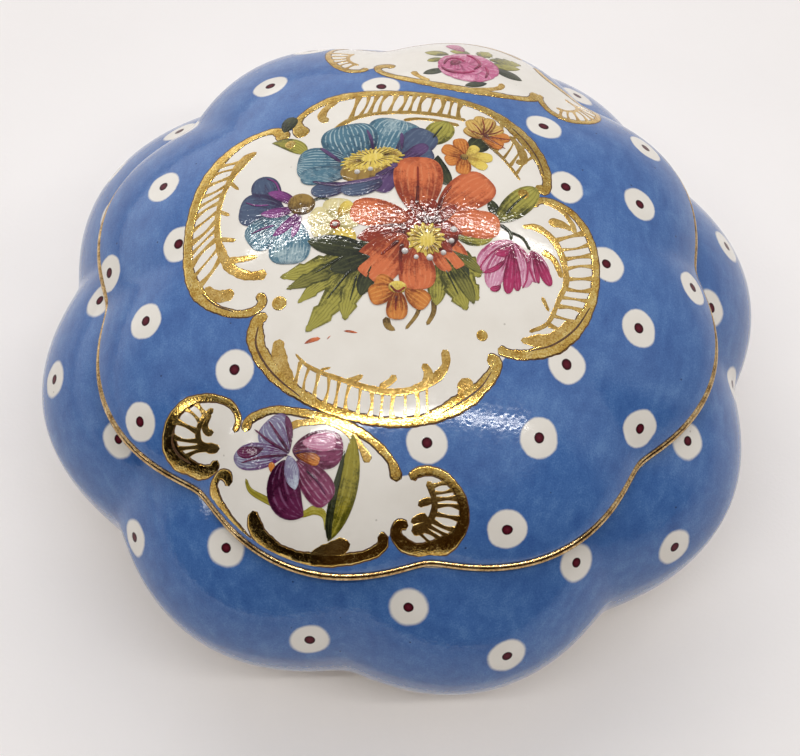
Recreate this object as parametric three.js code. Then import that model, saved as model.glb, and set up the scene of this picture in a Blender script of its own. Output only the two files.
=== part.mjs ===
// A squat porcelain trinket box with eight soft lobes: a bowl on a foot ring and a loose domed lid.
// Units are millimetres. +Z is up. The origin is on the table, in the middle of the foot ring.
// -Y is the front. Angles are counted from +X, counter-clockwise seen from above.
import * as THREE from 'three';

// ---- sizes that drive the rest ----
const LOBES = 8;
const BODY_RADIUS = 57.5;               // axis to the crest of a lobe at the belly
const LID_RADIUS = 48.4;                // axis to the crest of a lobe on the lid's lip
const BELLY_HEIGHT = 27.3;              // height at which the bowl is widest
const RIM_HEIGHT = 44.2;                // height of the lip's widest line
const DOME_RISE = 19.7;                 // from the lip's widest line to the top of the lid
const WALL = 3;                         // thickness of the porcelain
const SEAT_GAP = 0.4;                   // air between the lid and the bowl
const SEGMENTS = 96;                    // steps around the axis, twelve to a lobe

// ---- the lobes ----
const BODY_LOBE = { depth: 0.074, sharpness: 0.11, turn: THREE.MathUtils.degToRad(14.8) };
const LID_LOBE = { depth: 0.069, sharpness: 0.142, turn: THREE.MathUtils.degToRad(28.3) };

// ---- foot ring and floor ----
const FOOT_RADIUS = 33;
const FOOT_WIDTH = 3.5;
const FOOT_EDGE = 0.4;                  // rounding of the foot ring's two edges
const UNDERSIDE_HEIGHT = 2.2;
const FLOOR_HEIGHT = UNDERSIDE_HEIGHT + 1.2 * WALL;

// ---- seat and collar, under the lid ----
const LIP_DEPTH = 0.6;                  // how far the lid reaches below its widest line
const LIP_FLARE = 0.6;                  // how far the lip stands out from the lid's wall
const SEAT_HEIGHT = RIM_HEIGHT - LIP_DEPTH - SEAT_GAP;
const COLLAR_RADIUS = 39.6;
const COLLAR_WIDTH = 2.2;
const COLLAR_TOP = SEAT_HEIGHT + 3.4;
const COLLAR_EDGE = 0.5;

// ---- curves of the two skins ----
const SHOULDER = { topRadius: 30.5, topHeight: 49.1, bend: 1.7, swell: 1.46, fade: 3.1 };
const UNDERSIDE = { bend: 2, swell: 2 };
const DOME = { bend: 2.12, swell: 1.3, fade: 1.47 };

// 1 on the crest of a lobe and 0 in the crease between two lobes.
function lobeShape(angle, sharpness) {
  const wave = Math.hypot(Math.cos(angle * LOBES / 2), sharpness) - sharpness;
  return wave / (Math.hypot(1, sharpness) - sharpness);
}

// A quarter of a soft oval: 1 at t = 0, falling to 0 at t = 1.
function quarterOval(t, bend, swell) {
  return Math.max(0, 1 - t ** bend) ** (1 / swell);
}

// One ring of a skin. dent is how deep the creases between its lobes are, as a part of the radius.
function ring(radius, height, dent = 0) {
  return { radius, height, dent };
}

// steps + 1 values from start to end, closer together near the end.
function easedSteps(start, end, steps) {
  return Array.from({ length: steps + 1 }, (_, i) => start + (end - start) * Math.sin(Math.PI / 2 * i / steps));
}

// The bowl between its widest ring and its shoulder. t is 0 at the belly.
function shoulderRing(t, bellyRadius, topHeight) {
  const swell = quarterOval(t, SHOULDER.bend, SHOULDER.swell);
  const radius = SHOULDER.topRadius + (bellyRadius - SHOULDER.topRadius) * swell;
  const height = BELLY_HEIGHT + (topHeight - BELLY_HEIGHT) * t;
  return ring(radius, height, BODY_LOBE.depth * (1 - t ** SHOULDER.fade));
}

// The bowl between its foot and its widest ring. t is 0 at the belly and 1 at the foot.
function undersideRing(t, bellyRadius, footRadius, footHeight) {
  const swell = quarterOval(t, UNDERSIDE.bend, UNDERSIDE.swell);
  const radius = footRadius + (bellyRadius - footRadius) * swell;
  const height = footHeight + (BELLY_HEIGHT - footHeight) * (1 - t);
  return ring(radius, height, BODY_LOBE.depth * swell);
}

// The lid's dome. t is 0 on the axis and 1 at the rim.
function domeRing(t, rimRadius, rimHeight, rise) {
  const height = rimHeight + rise * quarterOval(t, DOME.bend, DOME.swell);
  return ring(rimRadius * t, height, LID_LOBE.depth * t ** DOME.fade);
}

// The value of t at which the shoulder narrows to a radius.
function shoulderStepAt(radius, bellyRadius) {
  const swell = (radius - SHOULDER.topRadius) / (bellyRadius - SHOULDER.topRadius);
  return (1 - swell ** SHOULDER.swell) ** (1 / SHOULDER.bend);
}

// A closed skin through a list of rings. The first and last rings are points on the axis.
function closedSkin(rings, lobe) {
  const positions = [0, 0, rings[0].height];
  const inner = rings.slice(1, -1);
  for (const { radius, height, dent } of inner) {
    for (let i = 0; i < SEGMENTS; i += 1) {
      const angle = 2 * Math.PI * i / SEGMENTS;
      const reach = radius * (1 - dent * (1 - lobeShape(angle - lobe.turn, lobe.sharpness)));
      positions.push(reach * Math.cos(angle), reach * Math.sin(angle), height);
    }
  }
  positions.push(0, 0, rings.at(-1).height);
  const lastPoint = positions.length / 3 - 1;
  const at = (row, i) => 1 + row * SEGMENTS + i % SEGMENTS;
  const indices = [];
  for (let i = 0; i < SEGMENTS; i += 1) {
    indices.push(0, at(0, i + 1), at(0, i));
    for (let row = 0; row + 1 < inner.length; row += 1) {
      indices.push(at(row, i), at(row, i + 1), at(row + 1, i));
      indices.push(at(row, i + 1), at(row + 1, i + 1), at(row + 1, i));
    }
    indices.push(at(inner.length - 1, i), at(inner.length - 1, i + 1), lastPoint);
  }
  const geometry = new THREE.BufferGeometry();
  geometry.setAttribute('position', new THREE.Float32BufferAttribute(positions, 3));
  geometry.setIndex(indices);
  geometry.computeVertexNormals();
  return geometry;
}

// The foot ring's outline, from the recess under the floor to the underside.
function footRings() {
  const innerRadius = FOOT_RADIUS - FOOT_WIDTH;
  return [
    ring(innerRadius, UNDERSIDE_HEIGHT),
    ring(innerRadius, FOOT_EDGE),
    ring(innerRadius + FOOT_EDGE, 0),
    ring(FOOT_RADIUS - FOOT_EDGE, 0),
    ring(FOOT_RADIUS, FOOT_EDGE),
  ];
}

// The round collar that keeps the lid in place, from its outer foot to its inner foot.
function collarRings(innerFootHeight) {
  const innerRadius = COLLAR_RADIUS - COLLAR_WIDTH;
  return [
    ring(COLLAR_RADIUS, SEAT_HEIGHT),
    ring(COLLAR_RADIUS, COLLAR_TOP - COLLAR_EDGE),
    ring(COLLAR_RADIUS - COLLAR_EDGE, COLLAR_TOP),
    ring(innerRadius + COLLAR_EDGE, COLLAR_TOP),
    ring(innerRadius, COLLAR_TOP - COLLAR_EDGE),
    ring(innerRadius, innerFootHeight),
  ];
}

// The bowl: foot ring, underside, belly, shoulder, seat and collar outside, and the hollow inside.
function bowl() {
  const seatStep = (SEAT_HEIGHT - BELLY_HEIGHT) / (SHOULDER.topHeight - BELLY_HEIGHT);
  const innerRadius = BODY_RADIUS - 1.05 * WALL;
  const innerTop = SHOULDER.topHeight - 2.1 * WALL;
  const innerFoot = FOOT_RADIUS - 0.7 * WALL;
  const mouthStep = shoulderStepAt(COLLAR_RADIUS - COLLAR_WIDTH, innerRadius);
  const mouthHeight = shoulderRing(mouthStep, innerRadius, innerTop).height;
  const rings = [
    ring(0, UNDERSIDE_HEIGHT),
    ...footRings(),
    ...easedSteps(0, 1, 8).reverse()
      .map((t) => undersideRing(t, BODY_RADIUS, FOOT_RADIUS, UNDERSIDE_HEIGHT)),
    ...easedSteps(0, seatStep, 8).slice(1)
      .map((t) => shoulderRing(t, BODY_RADIUS, SHOULDER.topHeight)),
    ...collarRings(mouthHeight),
    ...easedSteps(0, mouthStep, 6).reverse().slice(1)
      .map((t) => shoulderRing(t, innerRadius, innerTop)),
    ...easedSteps(0, 1, 6).slice(1)
      .map((t) => undersideRing(t, innerRadius, innerFoot, FLOOR_HEIGHT)),
    ring(0, FLOOR_HEIGHT),
  ];
  return closedSkin(rings, BODY_LOBE);
}

// The lip at the edge of the lid, from the bottom of its inner wall to the bottom of its dome.
function lipRings(innerRadius, wallRing) {
  const dent = LID_LOBE.depth;
  const bottom = RIM_HEIGHT - LIP_DEPTH;
  return [
    ring(innerRadius, bottom, dent),
    ring(LID_RADIUS - LIP_FLARE, bottom, dent),
    ring(LID_RADIUS, RIM_HEIGHT - LIP_DEPTH / 2, dent),
    ring(LID_RADIUS, RIM_HEIGHT, dent),
    ring(wallRing.radius + LIP_FLARE / 4, RIM_HEIGHT + LIP_FLARE, dent),
  ];
}

// The lid: a lobed dome with an even wall and a thin flared lip.
function lid() {
  const innerRadius = LID_RADIUS - WALL;
  const innerRise = DOME_RISE - WALL;
  const wallStep = 0.985;
  const outerSteps = easedSteps(0, wallStep, 14);
  const rings = [
    ...easedSteps(0, 1, 11).map((t) => domeRing(t, innerRadius, RIM_HEIGHT, innerRise)),
    ...lipRings(innerRadius, domeRing(wallStep, LID_RADIUS, RIM_HEIGHT, DOME_RISE)),
    ...outerSteps.reverse().map((t) => domeRing(t, LID_RADIUS, RIM_HEIGHT, DOME_RISE)),
  ];
  return closedSkin(rings, LID_LOBE);
}

const glaze = { color: 0x5f7fb5, roughness: 0.15, metalness: 0 };

function piece(name, geometry) {
  const mesh = new THREE.Mesh(geometry, new THREE.MeshStandardMaterial(glaze));
  mesh.name = name;
  return mesh;
}

const group = new THREE.Group();
group.name = 'porcelain_trinket_box';
group.add(piece('base', bowl()));
group.add(piece('lid', lid()));

export default group;
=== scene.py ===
"""A lobed porcelain trinket box, painted and gilded by hand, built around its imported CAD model.

Shapes are worked out in millimetres in the row's frame: +Z up, -Y the front, angles from +X.
"""
import functools
import math

import bpy
import numpy as np
from mathutils import Matrix, Vector


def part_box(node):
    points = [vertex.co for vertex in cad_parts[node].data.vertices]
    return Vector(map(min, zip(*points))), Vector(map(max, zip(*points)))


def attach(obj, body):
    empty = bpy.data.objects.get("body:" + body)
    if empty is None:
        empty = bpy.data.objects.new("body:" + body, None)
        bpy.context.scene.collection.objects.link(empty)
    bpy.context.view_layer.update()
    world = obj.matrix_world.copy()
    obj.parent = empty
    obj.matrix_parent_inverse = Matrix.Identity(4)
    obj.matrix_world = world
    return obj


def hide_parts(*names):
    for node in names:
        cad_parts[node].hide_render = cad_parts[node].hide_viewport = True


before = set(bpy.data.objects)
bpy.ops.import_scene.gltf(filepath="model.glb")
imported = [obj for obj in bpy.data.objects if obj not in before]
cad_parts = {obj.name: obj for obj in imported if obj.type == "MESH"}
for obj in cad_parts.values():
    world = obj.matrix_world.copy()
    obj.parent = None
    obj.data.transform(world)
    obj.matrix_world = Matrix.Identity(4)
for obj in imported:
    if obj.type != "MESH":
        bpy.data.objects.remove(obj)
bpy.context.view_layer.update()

MM = 0.001
TURN = 2 * math.pi

# ---------------------------------------------------------------- sizes, from the CAD model


def crest_radius(node):
    """The largest distance from the axis to a CAD node, in millimetres."""
    return max(math.hypot(v.co.x, v.co.y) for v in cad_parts[node].data.vertices) / MM


INSET = 0.08                    # the painted skins stay this far inside the CAD skins
LOBES = 8
BODY_RADIUS = crest_radius("base") - INSET
LID_RADIUS = crest_radius("lid") - INSET
COLLAR_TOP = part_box("base")[1][2] / MM - INSET
PAINT_ROOM = 0.4                # room over the lid's skin for the highest paint near its top
LID_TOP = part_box("lid")[1][2] / MM - PAINT_ROOM
LIP_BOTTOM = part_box("lid")[0][2] / MM + INSET
LIP_DEPTH = 0.6
RIM_HEIGHT = LIP_BOTTOM + LIP_DEPTH - INSET
DOME_RISE = LID_TOP - RIM_HEIGHT
BELLY_HEIGHT = 27.3
WALL = 3.0
FOOT_RADIUS = 33.0
FOOT_WIDTH = 3.5
UNDERSIDE_HEIGHT = 2.2
FLOOR_HEIGHT = UNDERSIDE_HEIGHT + 1.2 * WALL
SEAT_GAP = 0.4                  # air between the lid and the bowl
SEAT_HEIGHT = LIP_BOTTOM - INSET - SEAT_GAP
SEAT_WIDTH = 3.5
COLLAR_RADIUS = 39.6
COLLAR_WIDTH = 2.2
COLLAR_EDGE = 0.5
FOOT_EDGE = 0.4
RECESS_EDGE = 0.6               # the slope between the recess under the floor and the foot ring
BEAD_BELOW, BEAD_ABOVE = 0.25, 0.78     # how far the lip's gilded bead reaches from its middle
COLUMNS = 480                   # steps around the axis
SHOULDER_TOP_RADIUS = 30.5
SHOULDER_TOP_HEIGHT = 49.1
SHOULDER_BEND, SHOULDER_SWELL, SHOULDER_FADE = 1.7, 1.46, 3.1
DOME_BEND, DOME_SWELL, DOME_FADE = 2.12, 1.3, 1.47
WALL_STEP = 0.985               # where the lid's dome ends and its lip begins
BODY_LOBE = {"depth": 0.074, "sharpness": 0.11, "turn": math.radians(14.8)}
LID_LOBE = {"depth": 0.069, "sharpness": 0.142, "turn": math.radians(28.3)}

# ---------------------------------------------------------------- curves of the two skins


def lobe_shape(angle, sharpness):
    """1 on the crest of a lobe and 0 in the crease between two."""
    wave = np.hypot(np.cos(angle * LOBES / 2), sharpness) - sharpness
    return wave / (math.hypot(1, sharpness) - sharpness)


def lobed(angle, dent, lobe):
    """How far a ring with creases of that depth reaches at an angle, as a part of its radius."""
    return 1 - dent * (1 - lobe_shape(angle - lobe["turn"], lobe["sharpness"]))


def quarter_oval(t, bend, swell):
    """1 at t = 0, falling to 0 at t = 1 along a soft oval."""
    return np.clip(1 - np.asarray(t, float) ** bend, 0, None) ** (1 / swell)


def eased(start, end, steps):
    """steps + 1 values, closer together near the end."""
    return start + (end - start) * np.sin(np.linspace(0, math.pi / 2, steps + 1))


def rings(radius, height, dent=0.0):
    """Rings of one band of a skin, as rows of radius, height and depth of the creases."""
    columns = [np.atleast_1d(column).astype(float) for column in (radius, height, dent)]
    return np.stack(np.broadcast_arrays(*columns), axis=-1)


def shoulder(t, belly_radius=BODY_RADIUS, top_height=SHOULDER_TOP_HEIGHT):
    """The bowl above its belly. t is 0 at the belly."""
    t = np.asarray(t, float)
    swell = quarter_oval(t, SHOULDER_BEND, SHOULDER_SWELL)
    radius = SHOULDER_TOP_RADIUS + (belly_radius - SHOULDER_TOP_RADIUS) * swell
    height = BELLY_HEIGHT + (top_height - BELLY_HEIGHT) * t
    return rings(radius, height, BODY_LOBE["depth"] * (1 - t ** SHOULDER_FADE))


def underside(t, belly_radius=BODY_RADIUS, foot_radius=FOOT_RADIUS, foot_height=UNDERSIDE_HEIGHT):
    """The bowl below its belly. t is 0 at the belly and 1 at the foot."""
    swell = quarter_oval(t, 2, 2)
    radius = foot_radius + (belly_radius - foot_radius) * swell
    height = foot_height + (BELLY_HEIGHT - foot_height) * (1 - np.asarray(t, float))
    return rings(radius, height, BODY_LOBE["depth"] * swell)


def dome(t, rim_radius=LID_RADIUS, rise=DOME_RISE):
    """The lid's dome. t is 0 on the axis and 1 at the rim."""
    t = np.asarray(t, float)
    height = RIM_HEIGHT + rise * quarter_oval(t, DOME_BEND, DOME_SWELL)
    return rings(rim_radius * t, height, LID_LOBE["depth"] * t ** DOME_FADE)


def place(ring, angle, lobe):
    """Points on rings, at angles."""
    radius, height, dent = ring[..., 0], ring[..., 1], ring[..., 2]
    reach = radius * lobed(angle, dent, lobe)
    return np.stack([reach * np.cos(angle), reach * np.sin(angle), height + 0 * reach], axis=-1)


def dome_height(x, y):
    """The height of the lid's outer skin over a place seen from above."""
    angle = np.arctan2(y, x)
    step = np.hypot(x, y) / LID_RADIUS
    t = step
    for _ in range(10):
        t = step / lobed(angle, LID_LOBE["depth"] * np.clip(t, 0, 1) ** DOME_FADE, LID_LOBE)
    t = np.clip(t, 0, 1)
    return RIM_HEIGHT + DOME_RISE * quarter_oval(t, DOME_BEND, DOME_SWELL)


def on_lid(places, lift=0.0):
    """Points standing lift above the lid's outer skin, over places (x, y) seen from above."""
    places = np.asarray(places, float)
    x, y = places[..., 0], places[..., 1]
    reach = 0.05
    height = dome_height(x, y)
    slope_x = (dome_height(x + reach, y) - dome_height(x - reach, y)) / (2 * reach)
    slope_y = (dome_height(x, y + reach) - dome_height(x, y - reach)) / (2 * reach)
    normal = np.stack([-slope_x, -slope_y, np.ones_like(x)], axis=-1)
    normal /= np.linalg.norm(normal, axis=-1, keepdims=True)
    return np.stack([x, y, height], axis=-1) + normal * np.asarray(lift)[..., None]


# ---------------------------------------------------------------- meshes


def new_piece(name, points, faces, materials, body, bands=None):
    """A mesh piece from points in millimetres that rides on a CAD body."""
    mesh = bpy.data.meshes.new(name)
    mesh.from_pydata((np.asarray(points) * MM).tolist(), [], [list(map(int, f)) for f in faces])
    for material in materials:
        mesh.materials.append(material)
    if bands is not None:
        mesh.polygons.foreach_set("material_index", np.asarray(bands, dtype=np.int32))
    mesh.polygons.foreach_set("use_smooth", np.full(len(mesh.polygons), True))
    mesh.update()
    piece = bpy.data.objects.new(name, mesh)
    bpy.context.scene.collection.objects.link(piece)
    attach(piece, body)
    return piece


def vertex_places(mesh):
    """The points of a mesh, in millimetres."""
    points = np.empty(len(mesh.vertices) * 3)
    mesh.vertices.foreach_get("co", points)
    return points.reshape(-1, 3) / MM


def store(mesh, name, kind, values):
    """Keeps values at the points of a mesh, for its material to read."""
    layer = mesh.attributes.new(name, kind, "POINT")
    layer.data.foreach_set("vector" if kind == "FLOAT_VECTOR" else "value", np.ravel(values))


def skin(bands, lobe):
    """Points, faces and material numbers of a closed skin. bands are (rings, material number).

    The first and the last ring are points on the axis.
    """
    table = np.concatenate([band for band, _ in bands])
    band_of = np.concatenate([np.full(len(band), number) for band, number in bands])
    angle = np.arange(COLUMNS) * TURN / COLUMNS
    grid = place(table[1:-1, None, :], angle[None, :], lobe)
    rows = len(grid)
    points = np.concatenate([[[0, 0, table[0, 1]]], grid.reshape(-1, 3), [[0, 0, table[-1, 1]]]])
    here = np.arange(COLUMNS)
    after = (here + 1) % COLUMNS
    row = 1 + np.arange(rows - 1)[:, None] * COLUMNS
    quads = np.stack([row + here, row + after, row + COLUMNS + after, row + COLUMNS + here], axis=-1)
    faces = quads.reshape(-1, 4).tolist()
    numbers = np.repeat(band_of[2:-1], COLUMNS).tolist()
    last_row = 1 + (rows - 1) * COLUMNS
    for i, j in zip(here, after):
        faces.append([0, 1 + j, 1 + i])
        numbers.append(band_of[0])
        faces.append([last_row + i, last_row + j, len(points) - 1])
        numbers.append(band_of[-1])
    return points, faces, numbers


# ---------------------------------------------------------------- materials


def srgb(red, green, blue):
    """A colour from 0 to 255 as a linear colour."""
    values = [c / 255 for c in (red, green, blue)]
    linear = [c / 12.92 if c <= 0.04045 else ((c + 0.055) / 1.055) ** 2.4 for c in values]
    return (*linear, 1.0)


class Value:
    """What a node gives out. Arithmetic on it adds the math nodes that work it out."""

    def __init__(self, nodes, socket):
        self.nodes = nodes
        self.socket = socket

    def __add__(self, other):
        return self.nodes.math("ADD", self, other)

    def __sub__(self, other):
        return self.nodes.math("SUBTRACT", self, other)

    def __mul__(self, other):
        return self.nodes.math("MULTIPLY", self, other)

    def __pow__(self, other):
        return self.nodes.math("POWER", self, other)


class Nodes:
    """A node tree, with a short way to add each kind of node that is used here."""

    def __init__(self, tree, coordinates):
        self.tree = tree
        self.place = self.add("ShaderNodeTexCoord", {}, coordinates)

    def add(self, kind, inputs, output=0, **settings):
        """Adds a node, with inputs by name or number, and gives the value of one of its outputs."""
        node = self.tree.nodes.new(kind)
        for key, setting in settings.items():
            setattr(node, key, setting)
        for key, value in inputs.items():
            self.feed(node.inputs[key], value)
        return Value(self, node.outputs[output])

    def feed(self, socket, value):
        """Links a value into a socket, or sets a constant there."""
        if isinstance(value, Value):
            self.tree.links.new(value.socket, socket)
        else:
            socket.default_value = value

    def math(self, operation, a, b=0.0):
        return self.add("ShaderNodeMath", {0: a, 1: b}, operation=operation)

    def length(self, x, y):
        return self.math("SQRT", x * x + y * y)

    def noise(self, size, detail=3.0, roughness=0.55, where=None, warp=0.0):
        """Noise from 0 to 1 with features of that size in millimetres."""
        return self.add("ShaderNodeTexNoise", {
            "Vector": where or self.place, "Scale": 1 / (size * MM), "Detail": detail,
            "Roughness": roughness, "Distortion": warp,
        }, "Fac")

    def scaled(self, vector, scale):
        """Coordinates stretched or squeezed along their axes, so that noise runs in strokes."""
        return self.add("ShaderNodeMapping", {"Vector": vector, "Scale": scale}, "Vector")

    def spread(self, value, low, high, out_low=0.0, out_high=1.0):
        """A value from low..high brought smoothly to out_low..out_high."""
        return self.add("ShaderNodeMapRange", {0: value, 1: low, 2: high, 3: out_low, 4: out_high},
                        "Result", interpolation_type="SMOOTHSTEP")

    def mix(self, factor, a, b):
        """Colour a where the factor is 0 and b where it is 1."""
        return self.add("ShaderNodeMix", {0: factor, 6: a, 7: b}, 2, data_type="RGBA")

    def ramp(self, factor, *stops):
        """A colour that runs through stops of (position, colour)."""
        colour = self.add("ShaderNodeValToRGB", {"Fac": factor}, "Color")
        elements = colour.socket.node.color_ramp.elements
        while len(elements) < len(stops):
            elements.new(0.5)
        for element, (position, stop) in zip(elements, stops):
            element.position = position
            element.color = stop
        return colour

    def attribute(self, name, output="Fac"):
        return self.add("ShaderNodeAttribute", {}, output, attribute_name=name)

    def split(self, vector):
        """The three numbers of a vector or colour."""
        first = self.add("ShaderNodeSeparateXYZ", {0: vector})
        return [Value(self, socket) for socket in first.socket.node.outputs]

    def pits(self, spacing, rarity, inner, outer):
        """1 in small round pits and 0 elsewhere. The rarer they are, the nearer rarity is to 1."""
        distance = self.add("ShaderNodeTexVoronoi", {"Vector": self.place, "Scale": 1 / (spacing * MM)},
                            "Distance")
        cell = Value(self, distance.socket.node.outputs["Color"])
        rare = self.math("GREATER_THAN", self.split(cell)[0], rarity)
        return self.spread(distance, inner, outer, 1, 0) * rare


class Look(Nodes):
    """One procedural material: a principled shader and the nodes that feed it."""

    def __init__(self, name, refraction=1.5):
        self.material = bpy.data.materials.new(name)
        self.material.use_nodes = True
        super().__init__(self.material.node_tree, "Object")
        self.shader = self.tree.nodes["Principled BSDF"]
        self.shader.inputs["IOR"].default_value = refraction

    def finish(self, colour, roughness, bump, depth, **others):
        """Feeds the shader. depth is the bump's height in millimetres.

        others are further inputs of the shader, with _ for the spaces in their names.
        """
        normal = self.add("ShaderNodeBump", {"Strength": 1.0, "Distance": depth * MM, "Height": bump},
                          "Normal")
        inputs = {"Base Color": colour, "Roughness": roughness, "Normal": normal}
        for name, value in {**inputs, **others}.items():
            self.feed(self.shader.inputs[name.replace("_", " ")], value)
        return self.material


WHITE_GLAZE = srgb(233, 228, 219)
BLUE_DEEP = srgb(44, 79, 142)
BLUE_BODY = srgb(69, 108, 167)
BLUE_PALE = srgb(101, 139, 189)
SPOT_RADIUS = 2.8
CENTRE_RADIUS = 0.76
GROUND_EDGE = 15.4                # the blue ground stops at about this height under the belly


def blue_ground(look, pit):
    """The sponged blue, with brush marks, fine grain and dark pits."""
    sponge = look.noise(5.0, detail=6, roughness=0.65, warp=0.6)
    strokes = look.noise(1.6, detail=4, where=look.scaled(look.place, (1.0, 0.35, 1.0)))
    tone = sponge * 0.42 + strokes * 0.3 + look.noise(0.22, detail=2) * 0.35
    blue = look.ramp(tone, (0.32, BLUE_DEEP), (0.55, BLUE_BODY), (0.78, BLUE_PALE))
    return look.mix(pit * 0.75, blue, srgb(26, 34, 70))


def drawn_reach(look, stray, rough):
    """The distance from the nearest spot's centre, less even than a compass would draw it."""
    x, y, _ = look.split(look.attribute("spot", "Vector"))
    x = x + (look.noise(4.5, detail=1) - 0.5) * stray
    y = y + (look.noise(3.9, detail=1) - 0.5) * stray
    return look.length(x, y) + (look.noise(0.4) - 0.5) * rough


def white_areas(look, near_spot, panels):
    """1 where the glaze stays white: in the spots, in the lid's panels and under the belly."""
    soft = 0.2 if panels else 0.32
    spot = look.spread(drawn_reach(look, 0.75, 0.16), SPOT_RADIUS - soft, SPOT_RADIUS + soft, 1, 0)
    height = look.split(look.place)[2] + (look.noise(14, detail=2) - 0.5) * (3.0 * MM)
    foot = look.spread(height, (GROUND_EDGE - 0.3) * MM, (GROUND_EDGE + 0.3) * MM, 1, 0)
    area = look.math("MAXIMUM", spot * near_spot, foot)
    if panels:
        ragged = (look.noise(0.4) - 0.5) * 0.16
        panel = look.spread(look.attribute("panel") + ragged, -0.1, 0.12)
        area = look.math("MAXIMUM", area, panel)
    return area


def painted_glaze(name, panels):
    """The blue ground with its white spots, maroon centres and, on the lid, its white panels."""
    look = Look(name)
    pit = look.pits(2.4, 0.8, 0.04, 0.085)
    white = look.ramp(look.noise(6.0, detail=5), (0.3, srgb(226, 220, 210)), (0.7, WHITE_GLAZE))
    white = look.mix(pit * 0.4, white, srgb(112, 98, 84))
    far_from_spot = look.split(look.attribute("spot", "Vector"))[2]
    near_spot = look.math("LESS_THAN", far_from_spot, 0.5)
    white_area = white_areas(look, near_spot, panels)
    colour = look.mix(white_area, blue_ground(look, pit), white)
    reach = drawn_reach(look, 0.45, 0.08)
    centre = look.spread(reach, CENTRE_RADIUS - 0.06, CENTRE_RADIUS + 0.08, 1, 0) * near_spot
    maroon = look.ramp(reach, (0.0, srgb(98, 32, 44)), (0.45, srgb(78, 20, 32)), (0.7, srgb(44, 10, 18)))
    colour = look.mix(centre, colour, maroon)
    roughness = look.spread(look.noise(0.9, detail=4), 0.3, 0.75, 0.07, 0.17)
    stipple = look.noise(0.5, detail=0) * look.spread(white_area, 0, 1, 0.22, 0.05)
    relief = look.noise(9.0, detail=2) + stipple - pit * 0.25 + centre * 0.3
    mirroring = look.spread(centre, 0, 1, 0.5, 0.12)      # keeps the centres dark at a low angle
    return look.finish(colour, roughness, relief, 0.06, Specular_IOR_Level=mirroring)


def white_glaze(name):
    """Plain white glaze, for the insides."""
    look = Look(name)
    colour = look.ramp(look.noise(7.0, detail=5), (0.3, srgb(224, 220, 212)), (0.7, srgb(238, 235, 228)))
    colour = look.mix(look.pits(5.0, 0.85, 0.015, 0.03) * 0.6, colour, srgb(96, 82, 66))
    roughness = look.spread(look.noise(1.2), 0.3, 0.75, 0.08, 0.16)
    return look.finish(colour, roughness, look.noise(7.0), 0.08)


def bisque(name):
    """Unglazed porcelain, where the box stands and where the lid sits."""
    look = Look(name, refraction=1.45)
    colour = look.ramp(look.noise(2.0, detail=6), (0.3, srgb(205, 196, 180)), (0.7, srgb(228, 222, 210)))
    roughness = look.spread(look.noise(0.4), 0.3, 0.7, 0.55, 0.8)
    return look.finish(colour, roughness, look.noise(0.25, detail=4), 0.04)


def gilding(name, deep, body, bright, roughness, metal=1.0):
    """Burnished gold fired onto the glaze, with grain and worn places."""
    look = Look(name)
    tone = look.noise(0.26, detail=2, roughness=0.7) * 0.55 + look.noise(1.8, detail=5) * 0.45
    colour = look.ramp(tone, (0.38, srgb(*deep)), (0.5, srgb(*body)), (0.62, srgb(*bright)))
    worn = look.spread(look.noise(0.45, roughness=0.7), 0.58, 0.7)
    colour = look.mix(worn * 0.75, colour, srgb(112, 66, 24))
    shine = look.spread(look.noise(0.5), 0.3, 0.75, roughness - 0.05, roughness + 0.08)
    relief = look.noise(0.34, detail=1) - worn * 0.3
    return look.finish(colour, shine, relief, 0.017, Metallic=look.spread(worn, 0, 1, metal, 0.6))


def outline_brown(name):
    """The thin dark line drawn along the outside of the gold."""
    look = Look(name)
    colour = look.ramp(look.noise(0.6, detail=4), (0.35, srgb(58, 36, 20)), (0.7, srgb(112, 74, 36)))
    return look.finish(colour, 0.3, look.noise(0.3), 0.02)


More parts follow.
